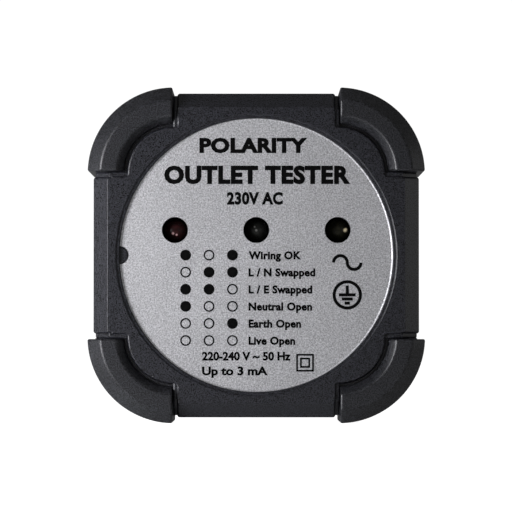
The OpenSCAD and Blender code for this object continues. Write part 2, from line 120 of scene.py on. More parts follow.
class Pen:
    """Draws an outline as a chain of edges with bmesh operators, in the plane z = 0 or y = 0."""

    def __init__(self, bm: BMesh, start: Sequence[float], upright: bool = False) -> None:
        """Puts the pen down.

        Args:
            bm: mesh to draw in.
            start: first point of the outline.
            upright: True draws in the plane y = 0, for a section that is then spun about z.
        """
        self.bm = bm
        self.upright = upright
        self.first = bm.verts.new(self._point(start))
        self.tip = self.first

    def _point(self, place: Sequence[float]) -> Vector:
        """Point in the pen's plane."""
        if self.upright:
            return Vector((place[0], 0, place[1]))
        return Vector((place[0], place[1], 0))

    def line(self, *places: Sequence[float]) -> "Pen":
        """Draws straight lines through the places.

        Args:
            places: points in the pen's plane.

        Returns:
            The pen itself, so calls can be chained.
        """
        for place in places:
            made = bmesh.ops.extrude_vert_indiv(self.bm, verts=[self.tip])
            self.tip = made["verts"][0]
            self.tip.co = self._point(place)
        return self

    def arc(self, centre: Sequence[float], degrees: float, steps: int = 6) -> "Pen":
        """Draws an arc from the pen's place.

        Args:
            centre: centre of the arc in the pen's plane.
            degrees: angle turned, positive from the plane's first axis towards its second.
            steps: number of straight steps.

        Returns:
            The pen itself.
        """
        axis = (0, -1, 0) if self.upright else (0, 0, 1)
        made = bmesh.ops.spin(
            self.bm, geom=[self.tip], cent=self._point(centre), axis=axis,
            angle=math.radians(degrees), steps=steps, use_merge=False, use_duplicate=False,
        )
        self.tip = next(g for g in made["geom_last"] if isinstance(g, BMVert))
        return self

    def close(self) -> "Pen":
        """Joins the last point to the first."""
        bmesh.ops.contextual_create(self.bm, geom=[self.tip, self.first])
        return self


def fill(bm: BMesh) -> BMFace:
    """Fills the one closed outline in a mesh with a face.

    Args:
        bm: mesh that holds a closed chain of edges and nothing else.

    Returns:
        The new face.
    """
    bmesh.ops.remove_doubles(bm, verts=bm.verts, dist=WELD)
    made = bmesh.ops.contextual_create(bm, geom=bm.edges[:])
    return made["faces"][0]


def raise_face(bm: BMesh, face: BMFace, height: float) -> list[BMFace]:
    """Extrudes a face along z and keeps the old one as the floor of a closed solid.

    Args:
        bm: mesh that holds the face.
        face: face to extrude.
        height: how far along z.

    Returns:
        The faces at the new level.
    """
    made = bmesh.ops.extrude_face_region(bm, geom=[face], use_keep_orig=True)
    verts = [g for g in made["geom"] if isinstance(g, BMVert)]
    bmesh.ops.translate(bm, verts=verts, vec=(0, 0, height))
    bmesh.ops.recalc_face_normals(bm, faces=bm.faces)
    return [g for g in made["geom"] if isinstance(g, BMFace)]


def bevel(bm: BMesh, edges: Iterable[BMEdge], offset: float, segments: int = 1) -> None:
    """Chamfers or rounds edges.

    Args:
        bm: mesh that holds the edges.
        edges: edges to bevel.
        offset: distance from the edge along each face.
        segments: 1 for a flat chamfer, more for a round.
    """
    bmesh.ops.bevel(
        bm, geom=list(edges), offset=offset, offset_type="OFFSET", segments=segments,
        profile=0.5, affect="EDGES", clamp_overlap=True, material=-1,
    )


def sharp_edges(bm: BMesh, least: float = 30) -> list[BMEdge]:
    """Convex edges at which two faces meet at more than an angle.

    Args:
        bm: mesh to look in.
        least: smallest angle between the faces, in degrees.

    Returns:
        The edges.
    """
    limit = math.radians(least)
    return [e for e in bm.edges if e.is_manifold and e.calc_face_angle_signed(0) > limit]


def block(low: Sequence[float], high: Sequence[float]) -> BMesh:
    """Box between two corners.

    Args:
        low: lowest corner.
        high: highest corner.

    Returns:
        A new mesh.
    """
    bm = bmesh.new()
    size = Vector(high) - Vector(low)
    place = Matrix.Translation((Vector(high) + Vector(low)) / 2) @ Matrix.Diagonal((*size, 1))
    bmesh.ops.create_cube(bm, size=1, matrix=place)
    return bm


def turned(profile: Sequence[Sequence[float]], steps: int) -> BMesh:
    """Solid turned about z from a section that starts and ends on the axis.

    Args:
        profile: radius and height of each point; the first and last radius are 0.
        steps: number of steps round the axis.

    Returns:
        A new closed mesh.
    """
    bm = bmesh.new()
    Pen(bm, profile[0], upright=True).line(*profile[1:])
    return spun(bm, steps)


def spun(bm: BMesh, steps: int) -> BMesh:
    """Spins the drawn section right round z and closes it.

    Args:
        bm: mesh that holds the section.
        steps: number of steps round the axis.

    Returns:
        The same mesh.
    """
    bmesh.ops.spin(
        bm, geom=bm.verts[:] + bm.edges[:], cent=(0, 0, 0), axis=(0, 0, 1),
        angle=math.tau, steps=steps, use_merge=True, use_duplicate=False,
    )
    bmesh.ops.remove_doubles(bm, verts=bm.verts, dist=WELD)
    bmesh.ops.recalc_face_normals(bm, faces=bm.faces)
    return bm


def rod(radius: float, low: float, high: float, steps: int = 48) -> BMesh:
    """Plain round bar or cutter along z.

    Args:
        radius: its radius.
        low: its lower end.
        high: its upper end.
        steps: number of sides.

    Returns:
        A new mesh.
    """
    bm = bmesh.new()
    place = Matrix.Translation((0, 0, (low + high) / 2))
    bmesh.ops.create_cone(
        bm, cap_ends=True, segments=steps, radius1=radius, radius2=radius,
        depth=high - low, matrix=place,
    )
    return bm


def gather(pieces: Iterable[BMesh]) -> BMesh:
    """Puts separate meshes into one, and frees them.

    Args:
        pieces: meshes that don't touch each other.

    Returns:
        A new mesh.
    """
    whole = bmesh.new()
    for piece in pieces:
        step = bpy.data.meshes.new("step")
        piece.to_mesh(step)
        piece.free()
        whole.from_mesh(step)
        bpy.data.meshes.remove(step)
    return whole


def moved(bm: BMesh, offset: Sequence[float]) -> BMesh:
    """Shifts a mesh.

    Args:
        bm: mesh to shift.
        offset: how far along x, y and z.

    Returns:
        The same mesh.
    """
    bmesh.ops.translate(bm, verts=bm.verts, vec=offset)
    return bm


def copied(bm: BMesh, places: Iterable[Sequence[float]]) -> BMesh:
    """Repeats a mesh at several places, and frees the pattern.

    Args:
        bm: mesh to repeat.
        places: x, y and z of each copy.

    Returns:
        A new mesh.
    """
    copies = [moved(bm.copy(), place) for place in places]
    bm.free()
    return gather(copies)


def combine(body: BMesh, tool: BMesh, how: Join) -> BMesh:
    """Adds one solid to another or cuts it away, and frees both.

    The solver also looks for self-intersections: without that, the rear shell comes out open and
    isn't hollowed, and no error is raised.

    Args:
        body: solid that is changed.
        tool: solid that is added or cut away.
        how: which of the two.

    Returns:
        A new mesh.
    """
    objects = []
    for bm in (body, tool):
        bmesh.ops.recalc_face_normals(bm, faces=bm.faces)
        mesh = bpy.data.meshes.new("solid")
        bm.to_mesh(mesh)
        bm.free()
        holder = bpy.data.objects.new("solid", mesh)
        bpy.context.scene.collection.objects.link(holder)
        objects.append(holder)
    modifier = objects[0].modifiers.new("combine", "BOOLEAN")
    modifier.operation = how.value
    modifier.solver = "EXACT"
    modifier.use_self = True
    modifier.object = objects[1]
    bpy.context.view_layer.update()
    evaluated = objects[0].evaluated_get(bpy.context.evaluated_depsgraph_get())
    result = bmesh.new()
    result.from_mesh(evaluated.to_mesh())
    for holder in objects:
        mesh = holder.data
        bpy.data.objects.remove(holder)
        bpy.data.meshes.remove(mesh)
    bmesh.ops.remove_doubles(result, verts=result.verts, dist=WELD)
    bmesh.ops.dissolve_degenerate(result, dist=WELD, edges=result.edges)
    return result


def make_piece(
    bm: BMesh, name: str, material: bpy.types.Material,
    nodes: Sequence[str] = (), stand: bool = True,
) -> bpy.types.Object:
    """Turns a drawn mesh into a finished piece that rides on the frame.

    Args:
        bm: the drawn mesh; it is freed.
        name: name of the piece.
        material: its material.
        nodes: frame nodes that the piece stands for.
        stand: whether the mesh still has to be stood up.

    Returns:
        The new object.
    """
    if stand:
        bmesh.ops.transform(bm, matrix=STAND_UP, verts=bm.verts)
    bmesh.ops.recalc_face_normals(bm, faces=bm.faces)
    for face in bm.faces:
        face.smooth = True
    for edge in bm.edges:
        edge.smooth = not edge.is_manifold or edge.calc_face_angle(0) < SMOOTH_ANGLE
    mesh = bpy.data.meshes.new(name)
    bm.to_mesh(mesh)
    bm.free()
    mesh.materials.append(material)
    piece = bpy.data.objects.new(name, mesh)
    bpy.context.scene.collection.objects.link(piece)
    weighted = piece.modifiers.new("weighted_normals", "WEIGHTED_NORMAL")
    weighted.keep_sharp = True
    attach(piece, "root")
    if nodes:
        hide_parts(*nodes)
    LOG.info("piece %s: %d faces", name, len(mesh.polygons))
    return piece


# ---------------------------------------------------------------- finishes


class Nodes:
    """Short way to write a node tree."""

    def __init__(self, tree: bpy.types.NodeTree) -> None:
        """Starts on a tree.

        Args:
            tree: the tree to write in.
        """
        self.tree = tree

    def add(self, kind: str, sockets: dict | None = None, **settings: object) -> bpy.types.Node:
        """Adds a node.

        Args:
            kind: the node's type name.
            sockets: input name or number to a value, or to an output to link from.
            settings: the node's own settings.

        Returns:
            The node.
        """
        node = self.tree.nodes.new(kind)
        for name, value in settings.items():
            setattr(node, name, value)
        self.feed(node, sockets or {})
        return node

    def feed(self, node: bpy.types.Node, sockets: dict) -> None:
        """Sets a node's inputs.

        Args:
            node: the node.
            sockets: input name or number to a value, or to an output to link from.
        """
        for name, value in sockets.items():
            if isinstance(value, bpy.types.NodeSocket):
                self.tree.links.new(value, node.inputs[name])
            else:
                node.inputs[name].default_value = value

    def place(self) -> bpy.types.NodeSocket:
        """The object's own coordinates, in metres."""
        return self.add("ShaderNodeTexCoord").outputs["Object"]

    def bump(self, height: bpy.types.NodeSocket, distance: float) -> bpy.types.NodeSocket:
        """Normal for a surface with a fine relief.

        Args:
            height: the relief, from 0 to 1.
            distance: its full height in metres.

        Returns:
            The normal.
        """
        return self.add("ShaderNodeBump", {"Height": height, "Distance": distance}).outputs["Normal"]

    def scaled(self, tint: bpy.types.NodeSocket, share: bpy.types.NodeSocket) -> bpy.types.NodeSocket:
        """Colour times a number."""
        return self.add("ShaderNodeVectorMath", {0: tint, "Scale": share}, operation="SCALE").outputs[0]

    def apart(self, place: bpy.types.NodeSocket, spot: Sequence[float]) -> bpy.types.NodeSocket:
        """Distance from an axis that runs through the face.

        Args:
            place: coordinates in metres.
            spot: a point of the axis, with y = 0.

        Returns:
            The distance in metres.
        """
        flat = self.add("ShaderNodeVectorMath", {0: place, 1: (1, 0, 1)}, operation="MULTIPLY")
        far = self.add("ShaderNodeVectorMath", {0: flat.outputs[0], 1: spot}, operation="DISTANCE")
        return far.outputs["Value"]

    def noise(self, place: bpy.types.NodeSocket, size: float, detail: float = 2) -> bpy.types.NodeSocket:
        """Noise whose grains have a real size.

        Args:
            place: coordinates in metres.
            size: size of a grain in metres.
            detail: octaves of finer noise.

        Returns:
            The noise, from 0 to 1.
        """
        made = self.add("ShaderNodeTexNoise", {"Vector": place, "Scale": 1 / size, "Detail": detail})
        return made.outputs["Fac"]

    def ramp(
        self, value: bpy.types.NodeSocket, low: float, high: float,
        out_low: object = 0, out_high: object = 1,
    ) -> bpy.types.NodeSocket:
        """Stretches a value between two limits.

        Args:
            value: what to stretch.
            low: value that gives out_low.
            high: value that gives out_high.
            out_low: lowest result, a number or an output.
            out_high: highest result, a number or an output.

        Returns:
            The stretched value.
        """
        sockets = {"Value": value, "From Min": low, "From Max": high, "To Min": out_low, "To Max": out_high}
        return self.add("ShaderNodeMapRange", sockets, clamp=True).outputs["Result"]

    def maths(self, operation: str, first: object, second: object = 0.0) -> bpy.types.NodeSocket:
        """One sum.

        Args:
            operation: Blender's name for it.
            first: a number or an output.
            second: a number or an output.

        Returns:
            The result.
        """
        return self.add("ShaderNodeMath", {0: first, 1: second}, operation=operation).outputs[0]

    def blend(self, share: object, first: object, second: object, how: str = "MIX") -> bpy.types.NodeSocket:
        """Mixes two colours.

        Args:
            share: how much of the second, a number or an output.
            first: a colour or an output.
            second: a colour or an output.
            how: Blender's name for the mix.

        Returns:
            The mixed colour.
        """
        node = self.add("ShaderNodeMix", data_type="RGBA", blend_type=how)
        for name, value in (("Factor_Float", share), ("A_Color", first), ("B_Color", second)):
            socket = next(s for s in node.inputs if s.identifier == name)
            if isinstance(value, bpy.types.NodeSocket):
                self.tree.links.new(value, socket)
            else:
                socket.default_value = value
        return next(s for s in node.outputs if s.identifier == "Result_Color")


def colour(red: float, green: float, blue: float) -> tuple[float, float, float, float]:
    """Colour with full alpha."""
    return red, green, blue, 1.0


def new_finish(name: str) -> tuple[bpy.types.Material, Nodes, bpy.types.Node]:
    """Starts a material.

    Args:
        name: its name.

    Returns:
        The material, a writer for its nodes, and its shader.
    """
    material = bpy.data.materials.new(name)
    material.use_nodes = True
    return material, Nodes(material.node_tree), material.node_tree.nodes["Principled BSDF"]


def moulded_grain() -> bpy.types.NodeTree:
    """Node group for a moulded surface: fine spark grain, broad mottle and dust specks.

    Returns:
        The group, made once.
    """
    name = "moulded_grain"
    if name in bpy.data.node_groups:
        return bpy.data.node_groups[name]
    tree = bpy.data.node_groups.new(name, "ShaderNodeTree")
    make = tree.interface.new_socket
    make("Grain Size", in_out="INPUT", socket_type="NodeSocketFloat").default_value = 0.0002
    make("Mottle Size", in_out="INPUT", socket_type="NodeSocketFloat").default_value = 0.004
    for out in ("Grain", "Mottle", "Specks"):
        make(out, in_out="OUTPUT", socket_type="NodeSocketFloat")
    nodes = Nodes(tree)
    inputs = nodes.add("NodeGroupInput")
    place = nodes.place()
    grain_scale = nodes.maths("DIVIDE", 1.0, inputs.outputs["Grain Size"])
    mottle_scale = nodes.maths("DIVIDE", 1.0, inputs.outputs["Mottle Size"])
    grain = nodes.add("ShaderNodeTexNoise", {"Vector": place, "Scale": grain_scale, "Detail": 2.0})
    mottle = nodes.add("ShaderNodeTexNoise", {"Vector": place, "Scale": mottle_scale, "Detail": 3.0})
    cells = nodes.add("ShaderNodeTexVoronoi", {"Vector": place, "Scale": 420.0})
    chance = nodes.add("ShaderNodeSeparateColor", {"Color": cells.outputs["Color"]}).outputs[0]
    near = nodes.ramp(cells.outputs["Distance"], 0.06, 0.02)
    specks = nodes.maths("MULTIPLY", near, nodes.maths("GREATER_THAN", chance, 0.93))
    nodes.add(
        "NodeGroupOutput",
        {"Grain": grain.outputs["Fac"], "Mottle": mottle.outputs["Fac"], "Specks": specks},
    )
    return tree


@dataclass(frozen=True)
class Moulded:
    """Moulded plastic or rubber with a spark-eroded grain."""

    name: str
    base: tuple[float, float, float]
    cool: tuple[float, float, float]
    roughness: float
    grain_size: float
    grain_depth: float
    speck_share: float = 0.0
    mottle_share: float = 18
    dust: tuple[float, float, float] = (0.35, 0.35, 0.35)

    def material(self) -> bpy.types.Material:
        """Builds the material.

        Returns:
            The material.
        """
        material, nodes, shader = new_finish(self.name)
        sizes = {"Grain Size": self.grain_size, "Mottle Size": self.grain_size * self.mottle_share}
        group = nodes.add("ShaderNodeGroup", sizes, node_tree=moulded_grain())
        grain = group.outputs["Grain"]
        tint = nodes.blend(group.outputs["Mottle"], colour(*self.base), colour(*self.cool))
        grained = nodes.scaled(tint, nodes.ramp(grain, 0.40, 0.60, 0.0, 2.1))
        dusty = nodes.maths("MULTIPLY", group.outputs["Specks"], self.speck_share)
        nodes.feed(shader, {
            "Base Color": nodes.blend(dusty, grained, colour(*self.dust)),
            "Roughness": nodes.ramp(grain, 0.33, 0.67, self.roughness - 0.05, self.roughness + 0.06),
            "Normal": nodes.bump(grain, self.grain_depth),
        })
        return material


@dataclass(frozen=True)
class Metal:
    """Solid metal with fine working marks along one axis and light tarnish."""

    name: str
    base: tuple[float, float, float]
    tarnish: tuple[float, float, float]
    roughness: float
    stretch: tuple[float, float, float]
    mark_size: float = 0.0003
    mark_depth: float = 0.00001
    patch_size: float = 0.006

    def material(self) -> bpy.types.Material:
        """Builds the material.

        Returns:
            The material.
        """
        material, nodes, shader = new_finish(self.name)
        place = nodes.place()
        along = nodes.add("ShaderNodeMapping", {"Vector": place, "Scale": self.stretch})
        marks = nodes.noise(along.outputs["Vector"], self.mark_size, 3)
        patches = nodes.noise(place, self.patch_size, 3)
        nodes.feed(shader, {
            "Base Color": nodes.blend(
                nodes.ramp(patches, 0.45, 0.75), colour(*self.base), colour(*self.tarnish)),
            "Roughness": nodes.ramp(marks, 0.3, 0.7, self.roughness - 0.07, self.roughness + 0.1),
            "Normal": nodes.bump(marks, self.mark_depth),
            "Metallic": 1.0,
        })
        return material


@dataclass(frozen=True)
class LabelSatin:
    """Satin silver face of the printed label, with a fine metallic grain."""

    name: str = "label_satin"
    light: tuple[float, float, float] = (0.77, 0.77, 0.785)
    dark: tuple[float, float, float] = (0.315, 0.315, 0.325)
    bare: tuple[float, float, float] = (0.95, 0.95, 0.95)
    grain_size: float = 0.00028
    grain_depth: float = 0.000012
    cloud_size: float = 0.009
    roughness: float = 0.46
    metallic: float = 0.55
    scratch_share: float = 0.22
    scratch_centre: tuple[float, float, float] = (13.9 * MM, 0.0, -4.27 * MM)
    scratch_r: float = 16.3 * MM
    scratch_w: float = 0.11 * MM
    scratch_start: float = 21.9 * MM

    def material(self) -> bpy.types.Material:
        """Builds the material.

        Returns:
            The material.
        """
        material, nodes, shader = new_finish(self.name)
        place = nodes.place()
        fine = nodes.noise(place, self.grain_size, 2)
        broad = nodes.noise(place, self.cloud_size, 2)
        tint = nodes.blend(nodes.ramp(fine, 0.32, 0.68), colour(*self.dark), colour(*self.light))
        clouded = nodes.scaled(tint, nodes.ramp(broad, 0.3, 0.7, 0.965, 1.035))
        share = nodes.maths("MULTIPLY", self.scratch(nodes, place), self.scratch_share)
        nodes.feed(shader, {
            "Base Color": nodes.blend(share, clouded, colour(*self.bare)),
            "Roughness": nodes.ramp(fine, 0.3, 0.7, self.roughness + 0.05, self.roughness - 0.05),
            "Normal": nodes.bump(fine, self.grain_depth),
            "Metallic": self.metallic,
        })
        return material

    def scratch(self, nodes: Nodes, place: bpy.types.NodeSocket) -> bpy.types.NodeSocket:
        """One faint curved scratch near the right edge.

        Args:
            nodes: the material's tree.
            place: coordinates in metres.

        Returns:
            1 on the scratch and 0 beside it.
        """
        far = nodes.apart(place, self.scratch_centre)
        off = nodes.maths("ABSOLUTE", nodes.maths("SUBTRACT", far, self.scratch_r))
        line = nodes.ramp(off, self.scratch_w, self.scratch_w * 0.3)
        axes = nodes.add("ShaderNodeSeparateXYZ", {0: place})
        right = nodes.ramp(axes.outputs["X"], self.scratch_start, self.scratch_start + 1.5 * MM)
        upper = nodes.ramp(axes.outputs["Z"], 3.2 * MM, 4.2 * MM)
        return nodes.maths("MULTIPLY", line, nodes.maths("MULTIPLY", right, upper))


@dataclass(frozen=True)
class Ink:
    """Screen-printed black ink, a little uneven."""

    name: str = "print_ink"
    base: tuple[float, float, float] = (0.0012, 0.0012, 0.0012)
    thin: tuple[float, float, float] = (0.004, 0.004, 0.004)

    def material(self) -> bpy.types.Material:
        """Builds the material.

        Returns:
            The material.
        """
        material, nodes, shader = new_finish(self.name)
        cover = nodes.noise(nodes.place(), 0.0005, 3)
        nodes.feed(shader, {
            "Base Color": nodes.blend(nodes.ramp(cover, 0.4, 0.8), colour(*self.base), colour(*self.thin)),
            "Roughness": nodes.ramp(cover, 0.3, 0.7, 0.55, 0.70),
            "Specular IOR Level": 0.05,
        })
        return material


@dataclass(frozen=True)
class LampLens:
    """Tinted epoxy of an unlit lamp, dark inside, with painted glints: pale spots and a faint painted glow
    that stand in for light caught in the lens.
    """

    name: str
    base: tuple[float, float, float]
    deep: tuple[float, float, float]
    bright: tuple[float, float, float] = (0.5, 0.5, 0.5)
    painted_glints: tuple[tuple[float, float, float], ...] = ()
    painted_glow: float = 0.0

    def material(self, centre: Sequence[float]) -> bpy.types.Material:
        """Builds the material.

        Args:
            centre: x and z of the lamp's axis, about which the painted glints are placed.

        Returns:
            The material.
        """
        material, nodes, shader = new_finish(self.name)
        place = nodes.place()
        swirl = nodes.noise(place, 0.0007, 2)
        tint = nodes.blend(nodes.ramp(swirl, 0.35, 0.7), colour(*self.base), colour(*self.deep))
        # Painted glow of the painted glints, black away from them.
        light = colour(0, 0, 0)
        # Each painted glint blends a pale spot into the lens colour: a painted highlight, not a part of the
        # lamp.
        for x, z, radius in self.painted_glints:
            far = nodes.apart(place, (centre[0] + x, 0, centre[1] + z))
            share = nodes.ramp(far, radius, radius * 0.3)
            tint = nodes.blend(share, tint, colour(*self.bright))
            light = nodes.blend(share, light, colour(*self.bright))
        nodes.feed(shader, {
            "Base Color": tint,
            "Roughness": nodes.ramp(swirl, 0.3, 0.7, 0.18, 0.30),
            "Specular IOR Level": 0.12,
            # The emission paints a faint glow into the glints, though the lamp is unlit.
            "Emission Color": light,
            "Emission Strength": self.painted_glow,
        })
        return material


# ---------------------------------------------------------------- sub-assemblies


def at_corners(half_x: float, half_y: float) -> list[tuple[float, float, float]]:
    """The four corners of a rectangle about the origin, at height 0.

    Args:
        half_x: half of its width.
        half_y: half of its height.

    Returns:
        The four places.
    """
    return [(sx * half_x, sy * half_y, 0.0) for sx in (-1, 1) for sy in (-1, 1)]


@dataclass
class Layout:
    """Sizes that the pieces share, in metres, read from the frame where it holds them."""

    guard_r: float = 17.85 * MM
    neck_step: float = 0.45 * MM
    fillet: float = 0.75 * MM
    rim_rise: float = 0.25 * MM
    window_r: float = 2.7 * MM
    screw_at: float = 20.5 * MM
    half_w: float = field(init=False)
    half_h: float = field(init=False)
    depth: float = field(init=False)
    seam: float = field(init=False)
    guard_end: float = field(init=False)
    guard_top: float = field(init=False)
    corner_x: float = field(init=False)
    corner_y: float = field(init=False)
    core_r: float = field(init=False)
    label_r: float = field(init=False)
    label_top: float = field(init=False)
    label_low: float = field(init=False)
    lamp_x: float = field(init=False)
    lamp_y: float = field(init=False)

    def __post_init__(self) -> None:
        """Reads the frame's boxes."""
        low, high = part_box("front_shell")
        self.half_w, self.half_h = high.x, high.z
        self.depth, self.seam = -low.y, -high.y
        low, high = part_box("guard_top_right")
        self.guard_end, self.guard_top = low.x, -low.y
        self.corner_x = high.x - self.guard_r
        self.corner_y = self.corner_x - (self.half_w - self.half_h)
        self.core_r = self.half_w - self.neck_step - self.corner_x
        low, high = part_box("face_label")
        self.label_r, self.label_top, self.label_low = high.x, -low.y - self.rim_rise, -high.y
        low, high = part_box("led_right")
        self.lamp_y = (low.z + high.z) / 2
        self.lamp_x = low.x + (high.z - low.z) / 2

    @property
    def lamps(self) -> list[tuple[float, float, float]]:
        """Places of the three lamps on the face."""
        return [(i * self.lamp_x, self.lamp_y, 0.0) for i in (-1, 0, 1)]

    @property
    def screws(self) -> list[tuple[float, float, float]]:
        """Places of the four case screws."""
        return at_corners(self.screw_at, self.screw_at)


@dataclass
class CaseShell:
    """One moulded shell of the case, with rounded edges, bosses and bores."""

    side: Side
    layout: Layout
    wall: float = 2.4 * MM
    front_chamfer: float = 3.0 * MM
    rear_chamfer: float = 1.2 * MM
    crest_round: float = 0.7 * MM
    end_round: float = 0.5 * MM
    boss_round: float = 0.3 * MM
    seam_round: float = 0.12 * MM
    face_foot_r: float = 10.0 * MM
    face_draft: float = 0.5 * MM
    face_round: float = 0.4 * MM
    seat_drop: float = 1.8 * MM
    rear_seat: float = 2.2 * MM
    recess_r: float = 29.0 * MM
    recess_depth: float = 1.4 * MM
    ledge_depth: float = 0.35 * MM
    seat_gap: float = 0.05 * MM
    seat_draft: float = 0.12 * MM
    rim_round: float = 0.3 * MM
    floor_fillet: float = 0.06 * MM
    face_t: float = 2.4 * MM
    groove_depth: float = 1.55 * MM
    groove_t: float = 1.0 * MM
    face_boss_r: float = 1.75 * MM
    post_x: float = 24.4 * MM
    post_y: float = 13.2 * MM
    post_r: float = 2.4 * MM
    screw_boss_r: float = 3.1 * MM
    hood_r: float = 4.0 * MM
    hood_len: float = 3.0 * MM
    pilot_r: float = 1.0 * MM
    pilot_depth: float = 5.4 * MM
    bore_r: float = 1.45 * MM
    bore_depth: float = 6.0 * MM
    tube_r: float = 4.4 * MM
    clamp_x: float = 9.8 * MM
    clamp_y: float = 6.5 * MM
    clamp_post_r: float = 2.6 * MM
    clamp_post_h: float = 2.0 * MM
    counterbore_r: float = 3.0 * MM
    counterbore_depth: float = 4.0 * MM
    counterbore_edge: float = 0.35 * MM
    slot_gap: float = 0.1 * MM

    @property
    def face(self) -> float:
        """Height of this shell's outer face."""
        return self.layout.depth if self.side is Side.FRONT else 0.0

    @property
    def outward(self) -> int:
        """1 where the outer face is the higher end, and -1 where it is the lower."""
        return 1 if self.side is Side.FRONT else -1

    @property
    def chamfer(self) -> float:
        """Chamfer along this shell's outer edges."""
        return self.front_chamfer if self.side is Side.FRONT else self.rear_chamfer

    def bar(self, half_w: float, half_len: float, face: float, quarter: bool) -> BMesh:
        """Bar across the case, chamfered along its long outer edges, with all edges rounded.

        Args:
            half_w: half of its width, over the chamfered sides.
            half_len: half of its length, between its ends.
            face: height of its outer face.
            quarter: True turns the bar to lie the other way.

        Returns:
            A new mesh.
        """
        seam = self.layout.seam
        bm = block((-half_w, -half_len, min(seam, face)), (half_w, half_len, max(seam, face)))
        long_edges = [
            e for e in bm.edges
            if all(abs(v.co.z - face) < WELD for v in e.verts)
            and abs(e.verts[0].co.y - e.verts[1].co.y) > half_len
        ]
        bevel(bm, long_edges, self.chamfer)
        rims = [e for e in bm.edges if all(abs(v.co.z - seam) < WELD for v in e.verts)]
        bevel(bm, rims, self.seam_round, 2)
        ends = [
            e for e in sharp_edges(bm, 60)
            if all(abs(abs(v.co.y) - half_len) < WELD for v in e.verts)
        ]
        bevel(bm, ends, self.end_round, 4)
        crests = [
            e for e in sharp_edges(bm, 30)
            if abs(e.verts[0].co.y - e.verts[1].co.y) > half_len
        ]
        bevel(bm, crests, self.crest_round, 4)
        if quarter:
            bmesh.ops.rotate(bm, verts=bm.verts, matrix=Matrix.Rotation(math.radians(90), 3, "Z"))
        return bm

    def raised_face(self, foot: float) -> BMesh:
        """Raised face: a cross with round corners, filleted where it meets the necks.

        Args:
            foot: height of its foot, under the guards.

        Returns:
            A new mesh.
        """
        lay = self.layout
        reach = 3.4 * MM
        draft = self.face_draft
        r, fillet = self.face_foot_r, lay.fillet - draft
        end_x, end_y = lay.corner_x - lay.fillet + draft, lay.corner_y - lay.fillet + draft
        bm = bmesh.new()
        pen = Pen(bm, (lay.half_w - reach, 0))
        pen.line((lay.half_w - reach, end_y), (lay.corner_x + r + fillet, end_y))
        pen.arc((lay.corner_x + r + fillet, lay.corner_y), -90, 5)
        pen.arc((lay.corner_x, lay.corner_y), 90, 26)
        pen.arc((lay.corner_x, lay.corner_y + r + fillet), -90, 5)
        pen.line((end_x, lay.half_h - reach), (0, lay.half_h - reach))
        for axis in ("X", "Y"):
            bmesh.ops.mirror(
                bm, geom=bm.verts[:] + bm.edges[:], matrix=Matrix.Identity(4),
                merge_dist=WELD * 10, axis=axis,
            )
        face = fill(bm)
        moved(bm, (0, 0, foot))
        top = raise_face(bm, face, self.face - foot)[0]
        inner = bmesh.ops.inset_region(bm, faces=[top], thickness=draft, depth=0)
        self._drop(bm, inner["faces"], foot)
        bmesh.ops.recalc_face_normals(bm, faces=bm.faces)
        rim = [e for e in top.edges if e.is_manifold and e.calc_face_angle(0) > math.radians(30)]
        bevel(bm, rim, self.face_round, 5)
        return bm

    @staticmethod
    def _drop(bm: BMesh, ring: Sequence[BMFace], foot: float) -> None:
        """Merges the upper edge of the outline's walls into its foot, which leaves a drafted wall.

        Args:
            bm: mesh of the raised face.
            ring: the faces that the inset left round the top.
            foot: height of the foot.
        """
        inner = {v for f in bm.faces if len(f.verts) > 8 for v in f.verts}
        outer = {v for f in ring for v in f.verts} - inner
        for vert in outer:
            vert.co.z = foot
        bmesh.ops.remove_doubles(bm, verts=bm.verts, dist=WELD)
        bmesh.ops.dissolve_degenerate(bm, dist=WELD, edges=bm.edges)

    def corner_cores(self, seat: float) -> BMesh:
        """The round quarters under the guards.

        Args:
            seat: height at which the guard's flange sits.

        Returns:
            A new mesh with four solids.
        """
        lay = self.layout
        low, high = sorted((lay.seam, seat))
        bm = rod(lay.core_r, low, high, 128)
        edge_x, edge_y = lay.guard_end - lay.corner_x - 0.2 * MM, lay.guard_end - lay.corner_y - 0.2 * MM
        for place, normal in (((edge_x, 0, 0), (-1, 0, 0)), ((0, edge_y, 0), (0, -1, 0))):
            geometry = bm.verts[:] + bm.edges[:] + bm.faces[:]
            bmesh.ops.bisect_plane(
                bm, geom=geometry, dist=WELD, plane_co=place, plane_no=normal, clear_outer=True,
            )
            bmesh.ops.holes_fill(bm, edges=bm.edges)
        moved(bm, (lay.corner_x, lay.corner_y, 0))
        quarters = []
        for sx in (-1, 1):
            for sy in (-1, 1):
                copy = bm.copy()
                bmesh.ops.scale(copy, verts=copy.verts, vec=(sx, sy, 1))
                bmesh.ops.recalc_face_normals(copy, faces=copy.faces)
                quarters.append(copy)
        bm.free()
        return gather(quarters)

    def cavity(self, low: float, high: float, inset: float) -> BMesh:
        """Rounded block that hollows out the shell.

        Args:
            low: its lower end.
            high: its upper end.
            inset: how far inside the core's outline it stays.

        Returns:
            A new mesh.
        """
        lay = self.layout
        half_x = lay.half_w - lay.neck_step - inset
        half_y = lay.half_h - lay.neck_step - inset
        bm = block((-half_x, -half_y, low), (half_x, half_y, high))
        uprights = [e for e in bm.edges if abs(e.verts[0].co.z - e.verts[1].co.z) > WELD]
        bevel(bm, uprights, lay.core_r - inset, 24)
        return bm

